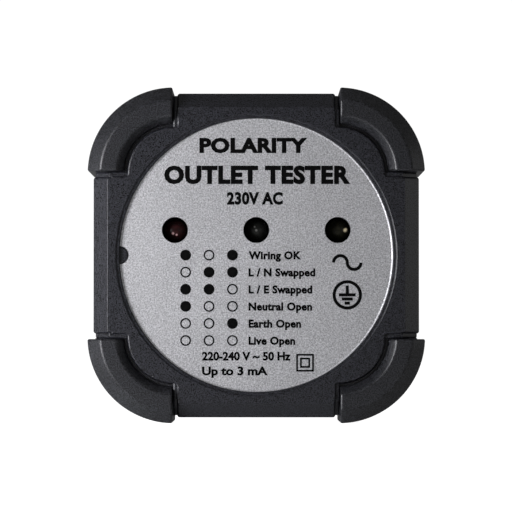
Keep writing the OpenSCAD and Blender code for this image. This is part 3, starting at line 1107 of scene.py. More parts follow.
    def recess(self) -> BMesh:
        """Cutter for the label recess: a shallow step with a rounded rim, then the label's seat."""
        floor, ledge = self.face - self.recess_depth, self.face - self.ledge_depth
        seat_r = self.layout.label_r + self.seat_gap
        soft, rim = self.floor_fillet, self.rim_round
        bm = bmesh.new()
        pen = Pen(bm, (0, floor), upright=True)
        pen.line((seat_r - soft, floor)).arc((seat_r - soft, floor + soft), 90, 4)
        pen.line((seat_r + self.seat_draft - soft, ledge - soft))
        pen.arc((seat_r + self.seat_draft, ledge - soft), -90, 4)
        pen.line((self.recess_r - soft, ledge)).arc((self.recess_r - soft, ledge + soft), 90, 4)
        pen.line((self.recess_r, self.face - rim)).arc((self.recess_r + rim, self.face - rim), -90, 5)
        pen.line((self.recess_r + rim, self.face + rim), (0, self.face + rim))
        return spun(bm, 180)

    def front_details(self, bm: BMesh) -> BMesh:
        """Adds the inner posts to the front shell and cuts its recess, windows and bores.

        Args:
            bm: the hollow shell.

        Returns:
            The finished solid.
        """
        lay = self.layout
        ceiling = self.face - self.recess_depth - self.face_t
        board = -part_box("circuit_board")[0].y
        posts_at = at_corners(self.post_x, self.post_y)
        bm = combine(bm, self.recess(), Join.CUT)
        boss = rod(self.face_boss_r, ceiling + OVERLAP, lay.label_top - 0.08 * MM, 40)
        bevel(boss, [e for e in sharp_edges(boss, 60) if e.verts[0].co.z > self.face - 2 * MM],
              self.boss_round, 3)
        bm = combine(bm, moved(boss, (-lay.label_r, 0, 0)), Join.ADD)
        posts = copied(rod(self.post_r, board, ceiling + OVERLAP, 32), posts_at)
        bosses = copied(rod(self.screw_boss_r, lay.seam, ceiling + OVERLAP, 32), lay.screws)
        hoods = copied(rod(self.hood_r, ceiling - self.hood_len, ceiling + OVERLAP, 48), lay.lamps)
        bm = combine(bm, gather([posts, bosses, hoods]), Join.ADD)
        windows = copied(rod(lay.window_r, ceiling - self.hood_len - 1 * MM, self.face, 48), lay.lamps)
        pilots = copied(rod(self.pilot_r, board - OVERLAP, board + self.pilot_depth, 24), posts_at)
        bores = copied(rod(self.bore_r, lay.seam - OVERLAP, lay.seam + self.bore_depth, 32), lay.screws)
        return combine(bm, gather([windows, pilots, bores]), Join.CUT)

    def rear_details(self, bm: BMesh) -> BMesh:
        """Adds tubes and posts to the rear shell and cuts its screw holes and pin slots.

        Args:
            bm: the hollow shell.

        Returns:
            The finished solid.
        """
        lay = self.layout
        floor = PLUG_BASE_T
        power_y = next(y for name, _, y, _, _ in self.pin_slots() if name == "live_pin")
        spots = [(-self.clamp_x, self.clamp_y, 0), (self.clamp_x, self.clamp_y, 0), (0, power_y, 0)]
        tubes = copied(rod(self.tube_r, floor - OVERLAP, lay.seam, 40), lay.screws)
        posts = copied(rod(self.clamp_post_r, floor - OVERLAP, floor + self.clamp_post_h, 32), spots)
        bm = combine(bm, gather([tubes, posts]), Join.ADD)
        edge, radius, depth = self.counterbore_edge, self.counterbore_r, self.counterbore_depth
        counterbore = turned(
            [(0, -edge), (radius + edge, -edge), (radius + edge, 0), (radius + edge * 0.3, edge * 0.3),
             (radius, edge), (radius, depth), (0, depth)], 48)
        bm = combine(bm, copied(counterbore, lay.screws), Join.CUT)
        shanks = copied(rod(self.bore_r, depth - OVERLAP, lay.seam + OVERLAP, 32), lay.screws)
        pilots = copied(rod(self.pilot_r, 1.6 * MM, floor + self.clamp_post_h + 1 * MM, 24), spots)
        bm = combine(bm, gather([shanks, pilots]), Join.CUT)
        return combine(bm, gather([self.slot(*size) for _, *size in self.pin_slots()]), Join.CUT)

    def pin_slots(self) -> list[tuple[str, float, float, float, float]]:
        """Name, centre, width and height of each pin's slot."""
        slots = []
        for name, (w, h, _) in PINS.items():
            low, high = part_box(name)
            centre = (low.x + high.x) / 2, (low.z + high.z) / 2
            slots.append((name, *centre, w + self.slot_gap, h + self.slot_gap))
        return slots

    def slot(self, x: float, y: float, w: float, h: float) -> BMesh:
        """Cutter for one pin slot.

        Args:
            x: centre.
            y: centre.
            w: width.
            h: height.

        Returns:
            A new mesh.
        """
        over = 1 * MM
        return block((x - w / 2, y - h / 2, -over), (x + w / 2, y + h / 2, PLUG_BASE_T + over))

    def build(self, material: bpy.types.Material) -> bpy.types.Object:
        """Builds the shell.

        Args:
            material: its finish.

        Returns:
            The finished piece.
        """
        lay = self.layout
        front = self.side is Side.FRONT
        seat = self.face - self.seat_drop if front else self.rear_seat
        neck = self.face - self.outward * lay.neck_step
        neck_end = lay.guard_end - 0.05 * MM
        panel_x, panel_y = lay.corner_x - lay.fillet, lay.corner_y - lay.fillet
        bm = self.raised_face(seat - self.outward * 2 * MM)
        solids = [
            self.bar(lay.half_w, panel_y, self.face, False),
            self.bar(lay.half_h, panel_x, self.face, True),
            self.bar(lay.half_w - lay.neck_step, neck_end, neck, False),
            self.bar(lay.half_h - lay.neck_step, neck_end, neck, True),
            self.corner_cores(seat),
        ]
        for solid in solids:
            bm = combine(bm, solid, Join.ADD)
        over = 1 * MM
        if front:
            ceiling = self.face - self.recess_depth - self.face_t
            bm = combine(bm, self.cavity(lay.seam - over, ceiling, self.wall), Join.CUT)
            groove = self.cavity(lay.seam - over, lay.seam + self.groove_depth, self.wall - self.groove_t)
            bm = combine(bm, groove, Join.CUT)
            bm = self.front_details(bm)
        else:
            bm = combine(bm, self.cavity(PLUG_BASE_T, lay.seam + over, self.wall), Join.CUT)
            bm = self.rear_details(bm)
        return make_piece(bm, f"{self.side.value}_moulding", material, [self.side.value])


@dataclass
class CornerGuard:
    """Soft guard that wraps one corner of the case."""

    corner: Corner
    layout: Layout
    chamfer: float = 2.75 * MM
    inner_r: float = 10.2 * MM
    slope: float = 1.55 * MM
    slope_drop: float = 2.2 * MM
    seat_drop: float = 1.75 * MM
    rear: float = 0.25 * MM
    rear_edge: float = 1.25 * MM
    rear_slope: float = 0.8 * MM
    rear_seat: float = 2.15 * MM
    edge_round: float = 0.5 * MM
    steps: int = 40

    def section(self) -> list[tuple[float, float]]:
        """Corners of the guard's section: radius from the arc's centre, and height."""
        lay = self.layout
        top, outer, inner = lay.guard_top, lay.guard_r, self.inner_r
        wall = lay.core_r + 0.05 * MM
        seat = lay.depth - self.seat_drop
        return [
            (outer, self.rear + self.rear_edge), (outer, top - self.chamfer),
            (outer - self.chamfer, top), (inner + self.slope, top),
            (inner, top - self.slope_drop), (inner, seat), (wall, seat), (wall, self.rear_seat),
            (inner, self.rear_seat), (inner, self.rear + self.rear_slope),
            (inner + self.rear_slope, self.rear), (outer - self.rear_edge, self.rear),
        ]

    def build(self, material: bpy.types.Material) -> bpy.types.Object:
        """Builds the guard.

        Args:
            material: its finish.

        Returns:
            The finished piece.
        """
        lay = self.layout
        points = self.section()
        bm = bmesh.new()
        Pen(bm, points[0], upright=True).line(*points[1:]).close()
        bmesh.ops.spin(
            bm, geom=bm.verts[:] + bm.edges[:], cent=(0, 0, 0), axis=(0, 0, 1),
            angle=math.pi / 2, steps=self.steps, use_merge=False, use_duplicate=False,
        )
        start_y, start_x = lay.guard_end - lay.corner_y, lay.guard_end - lay.corner_x
        for vert in bm.verts:
            r = math.hypot(vert.co.x, vert.co.y)
            share = math.atan2(vert.co.y, vert.co.x) / (math.pi / 2)
            first, last = math.asin(start_y / r), math.acos(start_x / r)
            angle = first + (last - first) * share
            vert.co.x, vert.co.y = r * math.cos(angle), r * math.sin(angle)
        bmesh.ops.holes_fill(bm, edges=bm.edges)
        bmesh.ops.recalc_face_normals(bm, faces=bm.faces)
        seat = lay.depth - self.seat_drop
        shown = [
            e for e in sharp_edges(bm, 25)
            if not all(self.rear_seat - WELD < v.co.z < seat + WELD and self.inside(v) for v in e.verts)
        ]
        bevel(bm, shown, self.edge_round, 4)
        sx, sy = self.corner.signs
        moved(bm, (lay.corner_x, lay.corner_y, 0))
        bmesh.ops.scale(bm, verts=bm.verts, vec=(sx, sy, 1))
        node = f"guard_{self.corner.ending}"
        return make_piece(bm, f"{node}_rubber", material, [node])

    def inside(self, vert: BMVert) -> bool:
        """Whether a vertex lies on the guard's hidden inner side."""
        return math.hypot(vert.co.x, vert.co.y) < self.layout.core_r + 0.1 * MM


@dataclass
class FaceLabel:
    """Satin label with its printed legend."""

    layout: Layout
    notch_r: float = 1.9 * MM
    edge_round: float = 0.05 * MM
    curl: float = 0.36 * MM
    ink_t: float = 0.012 * MM
    most_offset: float = 0.028

    def plate(self, material: bpy.types.Material) -> bpy.types.Object:
        """Builds the label itself.

        Args:
            material: its finish.

        Returns:
            The finished piece.
        """
        lay = self.layout
        low, high = lay.label_low, lay.label_top
        edge, curl, rise = self.edge_round, self.curl, lay.rim_rise
        outer, start = lay.label_r, lay.label_r - self.curl
        bm = turned(
            [(0, low), (outer, low), (outer, high + rise - edge),
             (outer - edge * 0.3, high + rise - edge * 0.3),
             (outer - edge, high + rise), (start + curl * 0.5, high + rise * 0.42),
             (start + curl * 0.2, high + rise * 0.1), (start, high), (0, high)], 180)
        over = 0.5 * MM
        holes = copied(rod(lay.window_r, low - over, high + over, 48), lay.lamps)
        notch = moved(rod(self.notch_r, low - over, high + over, 48), (-lay.label_r, 0, 0))
        bm = combine(bm, gather([holes, notch]), Join.CUT)
        return make_piece(bm, "face_label_plate", material, ["face_label"])

    def words(self, text: str, centre: Sequence[float], cap: float, width: float | None = None,
              left: bool = False, bold: float = 0.036, space: float = 1.0) -> BMesh:
        """One line of printed words.

        Args:
            text: the words.
            centre: centre of the line on the face, or its left end.
            cap: height of a capital letter.
            width: width to fit the line to, or None to keep the type's own.
            left: whether centre is the left end.
            bold: how much fatter than the plain type.
            space: spacing of the letters.

        Returns:
            A new mesh.
        """
        bm = self.lettering(text, bold, space)
        capital = self.lettering("H", bold, space)
        unit = cap / max(v.co.y for v in capital.verts)
        capital.free()
        xs = [v.co.x for v in bm.verts]
        stretch = width / (max(xs) - min(xs)) if width else unit
        start = min(xs) if left else (min(xs) + max(xs)) / 2
        moved(bm, (-start, 0, 0))
        thick = self.ink_t / max(v.co.z for v in bm.verts)
        bmesh.ops.scale(bm, verts=bm.verts, vec=(stretch, unit, thick))
        return moved(bm, (centre[0], centre[1] - cap / 2, 0))

    def lettering(self, text: str, bold: float, space: float) -> BMesh:
        """Letters as a closed solid, one unit high, standing on z = 0.

        Args:
            text: the words.
            bold: how much fatter than the plain type.
            space: spacing of the letters.

        Returns:
            A new mesh.
        """
        curve = bpy.data.curves.new("lettering", "FONT")
        curve.body = text
        curve.offset = min(bold, self.most_offset)
        curve.bevel_depth = bold - curve.offset
        curve.bevel_resolution = 0
        curve.space_character = space
        curve.extrude = 0.5
        curve.resolution_u = 3
        holder = bpy.data.objects.new("lettering", curve)
        bpy.context.scene.collection.objects.link(holder)
        bpy.context.view_layer.update()
        solid = holder.evaluated_get(bpy.context.evaluated_depsgraph_get())
        bm = bmesh.new()
        bm.from_mesh(solid.to_mesh())
        bpy.data.objects.remove(holder)
        bpy.data.curves.remove(curve)
        bmesh.ops.remove_doubles(bm, verts=bm.verts, dist=1e-5)
        return moved(bm, (0, 0, -min(v.co.z for v in bm.verts)))

    def ring(self, centre: Sequence[float], outer: float, inner: float, steps: int = 32) -> BMesh:
        """Printed ring, or a filled dot where inner is 0.

        Args:
            centre: its centre on the face.
            outer: outer radius.
            inner: inner radius.
            steps: steps round it.

        Returns:
            A new mesh.
        """
        if not inner:
            return moved(rod(outer, 0, self.ink_t, steps), (*centre, 0))
        bm = bmesh.new()
        pen = Pen(bm, (inner, 0), upright=True)
        pen.line((outer, 0), (outer, self.ink_t), (inner, self.ink_t)).close()
        return moved(spun(bm, steps), (*centre, 0))

    def stroke(self, x0: float, y0: float, x1: float, y1: float) -> BMesh:
        """Printed rectangle between two corners."""
        return block((x0, y0, 0), (x1, y1, self.ink_t))

    def frame_box(self, centre: Sequence[float], half: float, line: float) -> BMesh:
        """Printed square outline.

        Args:
            centre: its centre.
            half: half of its outer side.
            line: width of the line.

        Returns:
            A new mesh.
        """
        bm = block((-half, -half, 0), (half, half, self.ink_t))
        inner = half - line
        over = self.ink_t
        bm = combine(bm, block((-inner, -inner, -over), (inner, inner, self.ink_t + over)), Join.CUT)
        return moved(bm, (*centre, 0))

    def printed(self, bm: BMesh, name: str, material: bpy.types.Material) -> bpy.types.Object:
        """Lays a printed mesh on the label and makes it a piece.

        Args:
            bm: the print, standing on z = 0.
            name: name of the piece.
            material: the ink.

        Returns:
            The finished piece.
        """
        moved(bm, (0, 0, self.layout.label_top + 0.003 * MM))
        return make_piece(bm, name, material)

    def heading(self) -> BMesh:
        """Top lines: what is tested, the title and the voltage."""
        kind = ("POLARITY", -0.6, 22.85, 2.95, 22.4, 0.054, 1.06)
        title = ("OUTLET TESTER", 0.2, 16.77, 3.55, 38.6, 0.054, 1.08)
        volts = ("230V AC", -0.3, 11.85, 2.45, 11.6, 0.05, 1.06)
        return gather(
            self.words(text, (x * MM, y * MM), cap * MM, width * MM, bold=bold, space=space)
            for text, x, y, cap, width, bold, space in (kind, title, volts)
        )

    def fault_table(self) -> BMesh:
        """Rows of dots, filled where a lamp is lit, with the meaning of each row."""
        rows = (
            ("101", "Wiring OK"), ("011", "L / N Swapped"), ("110", "L / E Swapped"),
            ("100", "Neutral Open"), ("001", "Earth Open"), ("000", "Live Open"),
        )
        first_x, step_x = -14.64 * MM, 4.85 * MM
        first_y, step_y = 0.0, -3.54 * MM
        dot_r, line = 1.13 * MM, 0.31 * MM
        pieces = []
        for row, (lit, meaning) in enumerate(rows):
            y = first_y + row * step_y
            for column, on in enumerate(lit):
                inner = 0.0 if on == "1" else dot_r - line
                pieces.append(self.ring((first_x + column * step_x, y), dot_r, inner))
            pieces.append(self.words(meaning, (-1.6 * MM, y), 1.6 * MM, left=True, bold=0.048, space=1.06))
        return gather(pieces)

    def ratings(self) -> BMesh:
        """Rating lines at the foot and the double-insulation squares."""
        cap, bold = 1.72 * MM, 0.042
        upper = self.words("220-240 V ~ 50 Hz", (-2.05 * MM, -20.9 * MM), cap, 18.4 * MM, bold=bold)
        lower = self.words("Up to 3 mA", (-4.45 * MM, -23.95 * MM), cap, 13.6 * MM, bold=bold)
        centre, line = (10.1 * MM, -22.3 * MM), 0.38 * MM
        outer = self.frame_box(centre, 1.84 * MM, line)
        inner = self.frame_box(centre, 1.05 * MM, line)
        return gather([upper, lower, outer, inner])

    def symbols(self) -> BMesh:
        """Two plain electrical signs at the right: an alternating wave and an earth."""
        x, wave_y, earth_y = 18.85 * MM, -1.55 * MM, -8.25 * MM
        line = 0.66 * MM
        wave = self.wave((x, wave_y), 1.42 * MM, line)
        ring = self.ring((x, earth_y), 3.05 * MM, 3.05 * MM - line, 64)
        stem = self.stroke(x - line / 2, earth_y + 0.1 * MM, x + line / 2, earth_y + 1.95 * MM)
        bars = [
            self.stroke(x - w * MM, earth_y - d * MM - line / 2, x + w * MM, earth_y - d * MM + line / 2)
            for w, d in ((1.75, 0.0), (1.15, 0.85), (0.55, 1.7))
        ]
        return gather([wave, ring, stem, *bars])

    def wave(self, centre: Sequence[float], half: float, line: float) -> BMesh:
        """Printed wave of two half rings, one up and one down.

        Args:
            centre: its centre on the face.
            half: radius of the middle of each half ring.
            line: width of the line.

        Returns:
            A new mesh.
        """
        bm = bmesh.new()
        far = half + line / 2
        pen = Pen(bm, (-half - far, 0))
        pen.arc((-half, 0), -180, 20).arc((half, 0), 180, 20).line((half + far, 0))
        pen.arc((half, 0), -180, 20).arc((-half, 0), 180, 20).close()
        raise_face(bm, fill(bm), self.ink_t)
        return moved(bm, (*centre, 0))

    def build(self, satin: bpy.types.Material, ink: bpy.types.Material) -> list[bpy.types.Object]:
        """Builds the label and its print.

        Args:
            satin: the label's finish.
            ink: the print's finish.

        Returns:
            The finished pieces.
        """
        return [
            self.plate(satin),
            self.printed(self.heading(), "print_heading", ink),
            self.printed(self.fault_table(), "print_fault_table", ink),
            self.printed(self.ratings(), "print_ratings", ink),
            self.printed(self.symbols(), "print_symbols", ink),
        ]


@dataclass
class Lamp:
    """One round-topped lamp with its rim and leads."""

    name: str
    radius: float = 2.5 * MM
    rim_r: float = 2.9 * MM
    rim_t: float = 1.0 * MM
    lead_x: float = 1.27 * MM
    lead_half: float = 0.25 * MM
    body_len: float = 8.6 * MM
    foot_round: float = 0.15 * MM

    def build(self, material: bpy.types.Material, slot: str) -> bpy.types.Object:
        """Builds the lamp over its frame node.

        Args:
            material: its lens finish.
            slot: not used.

        Returns:
            The finished piece.
        """
        low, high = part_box(self.name)
        x, y = low.x + self.rim_r, (low.z + high.z) / 2
        tip, lead_end = -low.y, -high.y
        foot, soft = tip - self.body_len, self.foot_round
        bm = bmesh.new()
        pen = Pen(bm, (0, foot), upright=True)
        pen.line((self.rim_r - soft, foot)).arc((self.rim_r - soft, foot + soft), 90, 3)
        pen.line((self.rim_r, foot + self.rim_t), (self.radius, foot + self.rim_t))
        pen.line((self.radius, tip - self.radius))
        pen.arc((0, tip - self.radius), 90, 16)
        spun(bm, 48)
        leads = [
            block((s * self.lead_x - self.lead_half, -self.lead_half, lead_end),
                  (s * self.lead_x + self.lead_half, self.lead_half, foot))
            for s in (-1, 1)
        ]
        whole = gather([bm, *leads])
        return make_piece(moved(whole, (x, y, 0)), f"{self.name}_lens", material, [self.name])


@dataclass
class PlugPin:
    """One pin, with its sleeve where it has one."""

    name: str
    width: float
    thickness: float
    sleeve: str | None = None
    tip_len: float = 1.5 * MM
    tip_chamfer: float = 0.9 * MM
    edge_round: float = 0.18 * MM
    sleeve_t: float = 0.6 * MM
    head_t: float = 2.0 * MM
    head_grow: float = 1.5 * MM
    tail_w: float = 4.0 * MM
    tail_t: float = 3.0 * MM

    def blade(self, low: float, high: float, inset: float, tip: bool) -> BMesh:
        """Straight length of the pin with rounded long edges.

        Args:
            low: its lower end.
            high: its upper end.
            inset: how much thinner than the full pin each side is.
            tip: whether the lower end is the chamfered tip.

        Returns:
            A new mesh.
        """
        half_w, half_t = self.width / 2 - inset, self.thickness / 2 - inset
        bm = block((-half_w, -half_t, low), (half_w, half_t, high))
        if tip:
            end = next(f for f in bm.faces if f.normal.z < -0.5)
            made = bmesh.ops.inset_region(bm, faces=[end], thickness=self.tip_chamfer, depth=0)
            inner = set(end.verts)
            for vert in {v for f in made["faces"] for v in f.verts} - inner:
                vert.co.z = low + self.tip_len
        bevel(bm, sharp_edges(bm, 20), self.edge_round, 3)
        return bm

    def build(self, brass: bpy.types.Material, nylon: bpy.types.Material) -> list[bpy.types.Object]:
        """Builds the pin and its sleeve over their frame nodes.

        Args:
            brass: the pin's finish.
            nylon: the sleeve's finish.

        Returns:
            The finished pieces.
        """
        low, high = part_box(self.name)
        x, y = (low.x + high.x) / 2, (low.z + high.z) / 2
        end, tail_top = -high.y, -low.y
        half_w, half_t = self.width / 2, self.thickness / 2
        head_low, head_high = PLUG_BASE_T, PLUG_BASE_T + self.head_t
        head = block(
            (-half_w - self.head_grow, -half_t - self.head_grow, head_low),
            (half_w + self.head_grow, half_t + self.head_grow, head_high))
        bevel(head, sharp_edges(head), self.edge_round, 2)
        tail = block(
            (-self.tail_w / 2, -self.tail_t / 2, head_high - OVERLAP),
            (self.tail_w / 2, self.tail_t / 2, tail_top))
        if self.sleeve:
            sleeve_end = -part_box(self.sleeve)[1].y
            shank = self.blade(sleeve_end - OVERLAP, head_low + OVERLAP, self.sleeve_t, False)
            bm = combine(self.blade(end, sleeve_end, 0, True), shank, Join.ADD)
        else:
            bm = self.blade(end, head_low + OVERLAP, 0, True)
        bm = combine(combine(bm, head, Join.ADD), tail, Join.ADD)
        moved(bm, (x, y, 0))
        pieces = [make_piece(bm, f"{self.name}_brass", brass, [self.name])]
        if self.sleeve:
            outer = self.blade(sleeve_end, head_low, 0, False)
            bore_w, bore_t = half_w - self.sleeve_t, half_t - self.sleeve_t
            bore = block((-bore_w, -bore_t, sleeve_end - OVERLAP), (bore_w, bore_t, head_low + OVERLAP))
            ring = moved(combine(outer, bore, Join.CUT), (x, y, 0))
            pieces.append(make_piece(ring, f"{self.sleeve}_moulding", nylon, [self.sleeve]))
        return pieces


@dataclass
class CaseScrews:
    """The four screws that close the case, seen in their counterbores at the rear."""

    layout: Layout
    head_r: float = 2.75 * MM
    head_t: float = 2.1 * MM
    shank_r: float = 1.45 * MM
    shank_len: float = 16 * MM
    seat: float = 4 * MM

    def screw(self) -> BMesh:
        """One pan-head screw with a cross recess, its head facing down."""
        top, edge = self.seat - self.head_t, 0.5 * MM
        bm = bmesh.new()
        pen = Pen(bm, (0, top), upright=True)
        pen.line((self.head_r * 0.55, top + 0.08 * MM), (self.head_r * 0.82, top + 0.3 * MM))
        pen.line((self.head_r * 0.96, top + 0.7 * MM), (self.head_r, top + 1.1 * MM))
        pen.line((self.head_r, self.seat), (self.shank_r, self.seat))
        end = self.seat + self.shank_len
        pen.line((self.shank_r, end - edge), (self.shank_r * 0.4, end), (0, end))
        spun(bm, 48)
        bm = combine(bm, self.recess_arm(top, 0), Join.CUT)
        return combine(bm, self.recess_arm(top, 90), Join.CUT)

    def recess_arm(self, top: float, turn: float) -> BMesh:
        """Tapered cutter for one arm of the cross recess.

        Args:
            top: height of the head's top.
            turn: angle of the arm in degrees.

        Returns:
            A new mesh.
        """
        half_len, half_w, deep = 1.6 * MM, 0.42 * MM, 1.3 * MM
        bm = block((-half_len, -half_w, top - deep), (half_len, half_w, top + deep))
        far = [v for v in bm.verts if v.co.z > top]
        bmesh.ops.scale(bm, verts=far, vec=(0.35, 0.6, 1))
        bmesh.ops.rotate(bm, verts=bm.verts, matrix=Matrix.Rotation(math.radians(turn), 3, "Z"))
        return bm

    def build(self, material: bpy.types.Material) -> bpy.types.Object:
        """Builds the four screws.

        Args:
            material: their finish.

        Returns:
            The finished piece.
        """
        bm = copied(self.screw(), self.layout.screws)
        return make_piece(bm, "case_screws_steel", material, ["case_screws"])


@dataclass(frozen=True)
class SoftLight:
    """Rectangular soft light that faces the object."""

    name: str
    azimuth: float
    height: float
    distance: float
    size: tuple[float, float]
    watts: float
    tint: tuple[float, float, float] = (1.0, 1.0, 1.0)

    def build(self) -> None:
        """Places the light: azimuth in degrees to the camera's right, height in degrees above level."""
        data = bpy.data.lights.new(self.name, "AREA")
        data.shape = "RECTANGLE"
        data.size, data.size_y = self.size
        data.energy = self.watts
        data.color = self.tint
        lamp = bpy.data.objects.new(self.name, data)
        bpy.context.scene.collection.objects.link(lamp)
        turn, rise = math.radians(self.azimuth), math.radians(self.height)
        way = Vector((math.sin(turn) * math.cos(rise), -math.cos(turn) * math.cos(rise), math.sin(rise)))
        lamp.location = way * self.distance
        lamp.rotation_mode = "QUATERNION"
        lamp.rotation_quaternion = (-way).to_track_quat("-Z", "Y")


@dataclass
class Studio:
    """Camera, pale floor, backdrop and lights of a plain product studio."""

    distance: float = 0.752
    lens: float = 256.0
    elevation: float = -1.42
    aim_x: float = -0.00006
    aim_z: float = -0.00025
    glow: float = 0.153
    floor_glow: float = 0.052
    lights: tuple[SoftLight, ...] = (
        SoftLight("key_left", -47, 2, 0.22, (0.07, 0.09), 0.40, (0.965, 0.96, 1.0)),
        SoftLight("side_left", -60, 1, 0.24, (0.14, 0.18), 0.15, (0.965, 0.96, 1.0)),
        SoftLight("low_left", -86, -36, 0.35, (0.25, 0.25), 0.45, (0.86, 0.97, 1.0)),
        SoftLight("rim_right", 95, 5, 0.6, (0.3, 0.3), 0.13),
    )

    def camera(self) -> None:
        """Places the camera square on to the label, a little below its centre."""
        data = bpy.data.cameras.new("camera")
        data.lens, data.sensor_width = self.lens, 36.0
        data.clip_start, data.clip_end = 0.01, 10
        camera = bpy.data.objects.new("camera", data)
        bpy.context.scene.collection.objects.link(camera)
        tilt = math.radians(self.elevation)
        target = Vector((self.aim_x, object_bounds()[0].y, self.aim_z))
        back = Vector((0, -math.cos(tilt), math.sin(tilt)))
        camera.location = target + back * self.distance
        camera.rotation_mode = "QUATERNION"
        camera.rotation_quaternion = (-back).to_track_quat("-Z", "Y")
        bpy.context.scene.camera = camera

    def surroundings(self) -> None:
        """White world behind the object, with a dimmer glow that lights it."""
        world = bpy.data.worlds.new("world")
        world.use_nodes = True
        bpy.context.scene.world = world
        nodes = Nodes(world.node_tree)
        background = world.node_tree.nodes["Background"]
        seen = nodes.add("ShaderNodeLightPath").outputs["Is Camera Ray"]
        strength = nodes.ramp(seen, 0, 1, self.glow, 1.05)
        world.node_tree.links.new(strength, background.inputs["Strength"])
        background.inputs["Color"].default_value = colour(1, 1, 1)

    def floor(self) -> None:
        """Pale floor under the guards, lit like the backdrop."""
        low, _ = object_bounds()
        bm = bmesh.new()
        bmesh.ops.create_grid(bm, x_segments=1, y_segments=1, size=3.0)
        moved(bm, (0, 0, low.z - 0.02 * MM))
        mesh = bpy.data.meshes.new("floor")
        bm.to_mesh(mesh)
        bm.free()
        material, nodes, shader = new_finish("floor_white")
        seen = nodes.add("ShaderNodeLightPath").outputs["Is Camera Ray"]
        speckle = nodes.noise(nodes.place(), 0.02)
        nodes.feed(shader, {
            "Base Color": nodes.blend(speckle, colour(0.80, 0.80, 0.80), colour(0.78, 0.78, 0.78)),
            "Roughness": 0.9,
            "Emission Color": colour(1, 1, 1),
            "Emission Strength": nodes.ramp(seen, 0, 1, self.floor_glow, 1.0),
        })
        mesh.materials.append(material)
        floor = bpy.data.objects.new("floor", mesh)
        bpy.context.scene.collection.objects.link(floor)
        floor.visible_shadow = False
        floor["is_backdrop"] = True

    def build(self) -> None:
        """Builds the whole studio."""
        scene = bpy.context.scene
        scene.view_settings.view_transform = "Standard"
        scene.view_settings.look = "None"
        self.camera()
        self.surroundings()
        self.floor()
        for light in self.lights:
            light.build()


def dress_inner_nodes(finishes: dict[str, bpy.types.Material]) -> None:
    """Gives the frame's own inner nodes their materials.

    Args:
        finishes: node name to material.
    """
    for name, material in finishes.items():
        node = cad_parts[name]
        node.data.materials.clear()
        node.data.materials.append(material)
        LOG.info("node %s: %s", name, material.name)


def make_finishes() -> dict[str, bpy.types.Material]:
    """Makes the finishes that aren't printed or lens-like.

    Returns:
        Finish by its material's name.
    """
    recipes = (
        Moulded("case_plastic", (0.0168, 0.0170, 0.0206), (0.0142, 0.0148, 0.0192), 0.32, 0.00023,
                0.000025, 0.35),
        Moulded("guard_rubber", (0.0178, 0.0182, 0.0200), (0.0152, 0.0158, 0.0192), 0.35, 0.00025,
                0.00004, 0.6),
        Moulded("black_nylon", (0.014, 0.014, 0.015), (0.011, 0.011, 0.013), 0.35, 0.00015, 0.000008),
        Moulded("natural_nylon", (0.72, 0.68, 0.56), (0.66, 0.62, 0.50), 0.45, 0.0003, 0.00001),
        Metal("pin_brass", (0.80, 0.63, 0.33), (0.62, 0.46, 0.22), 0.24, (1, 0.08, 1),
              mark_depth=0.000003),
        Metal("spring_brass", (0.74, 0.56, 0.24), (0.58, 0.42, 0.18), 0.32, (0.1, 1, 1)),
        Metal("zinc_steel", (0.62, 0.62, 0.60), (0.42, 0.41, 0.39), 0.30, (1, 1, 1)),
        Moulded("board", (0.02, 0.12, 0.05), (0.015, 0.09, 0.04), 0.30, 0.0008, 0.00001),
        Moulded("adhesive", (0.80, 0.77, 0.66), (0.74, 0.70, 0.58), 0.4, 0.0006, 0.00001),
        Moulded("resistor_coat", (0.25, 0.46, 0.58), (0.20, 0.38, 0.50), 0.45, 0.0005, 0.00002),
        Moulded("diode_epoxy", (0.02, 0.02, 0.022), (0.016, 0.016, 0.018), 0.4, 0.0003, 0.00001),
    )
    return {recipe.name: recipe.material() for recipe in recipes}


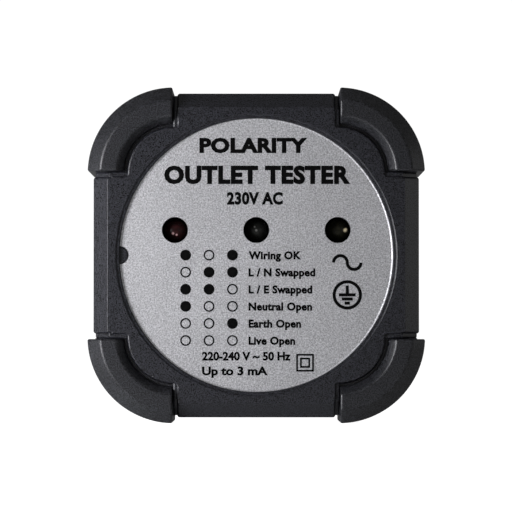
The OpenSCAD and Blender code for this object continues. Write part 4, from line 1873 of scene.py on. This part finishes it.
def build_lamps(layout: Layout) -> None:
    """Builds the three lamps, each with its own lens.

    Args:
        layout: the shared sizes.
    """
    # Each lens: base and deep tint, the glint paint colour, painted glints as x and z offsets from the
    # lamp's axis with a radius, and for the amber lamp a painted glow strength.
    lenses = (
        ("led_left", LampLens(
            "lamp_red", (0.034, 0.010, 0.010), (0.014, 0.007, 0.007), (0.62, 0.38, 0.38),
            ((-0.46 * MM, -0.66 * MM, 0.36 * MM), (0.30 * MM, -0.93 * MM, 0.28 * MM)))),
        ("led_middle", LampLens(
            "lamp_clear", (0.020, 0.021, 0.019), (0.010, 0.010, 0.009), (0.16, 0.16, 0.15),
            ((0.0, 0.0, 0.34 * MM), (-0.35 * MM, 0.75 * MM, 0.25 * MM)))),
        ("led_right", LampLens(
            "lamp_amber", (0.022, 0.021, 0.013), (0.010, 0.010, 0.007), (0.95, 0.82, 0.55),
            ((1.60 * MM, 0.03 * MM, 0.50 * MM), (1.75 * MM, 0.25 * MM, 0.34 * MM)), 0.22)),
    )
    for (x, z, _), (name, lens) in zip(layout.lamps, lenses):
        Lamp(name).build(lens.material((x, z)), lens.name)


def main() -> None:
    """Builds every piece in order."""
    logging.basicConfig(level=logging.INFO, format="%(message)s")
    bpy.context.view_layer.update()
    Studio().build()
    layout = Layout()
    finish = make_finishes()
    for side in Side:
        CaseShell(side, layout).build(finish["case_plastic"])
    for corner in Corner:
        CornerGuard(corner, layout).build(finish["guard_rubber"])
    FaceLabel(layout).build(LabelSatin().material(), Ink().material())
    build_lamps(layout)
    for name, (width, thickness, sleeve) in PINS.items():
        PlugPin(name, width, thickness, sleeve).build(finish["pin_brass"], finish["black_nylon"])
    CaseScrews(layout).build(finish["zinc_steel"])
    inner = {"label_adhesive": "adhesive", "circuit_board": "board", "pin_retainer": "natural_nylon",
             "board_screws": "zinc_steel", "retainer_screws": "zinc_steel"}
    inner |= {f"led_spacer_{place}": "black_nylon" for place in ("left", "middle", "right")}
    for pair in ("live_neutral", "live_earth", "neutral_earth"):
        inner |= {f"resistor_{pair}": "resistor_coat", f"diode_{pair}": "diode_epoxy"}
    inner |= {f"{pin}_contact": "spring_brass" for pin in ("earth", "neutral", "live")}
    dress_inner_nodes({node: finish[name] for node, name in inner.items()})


if __name__ == "__main__":
    main()
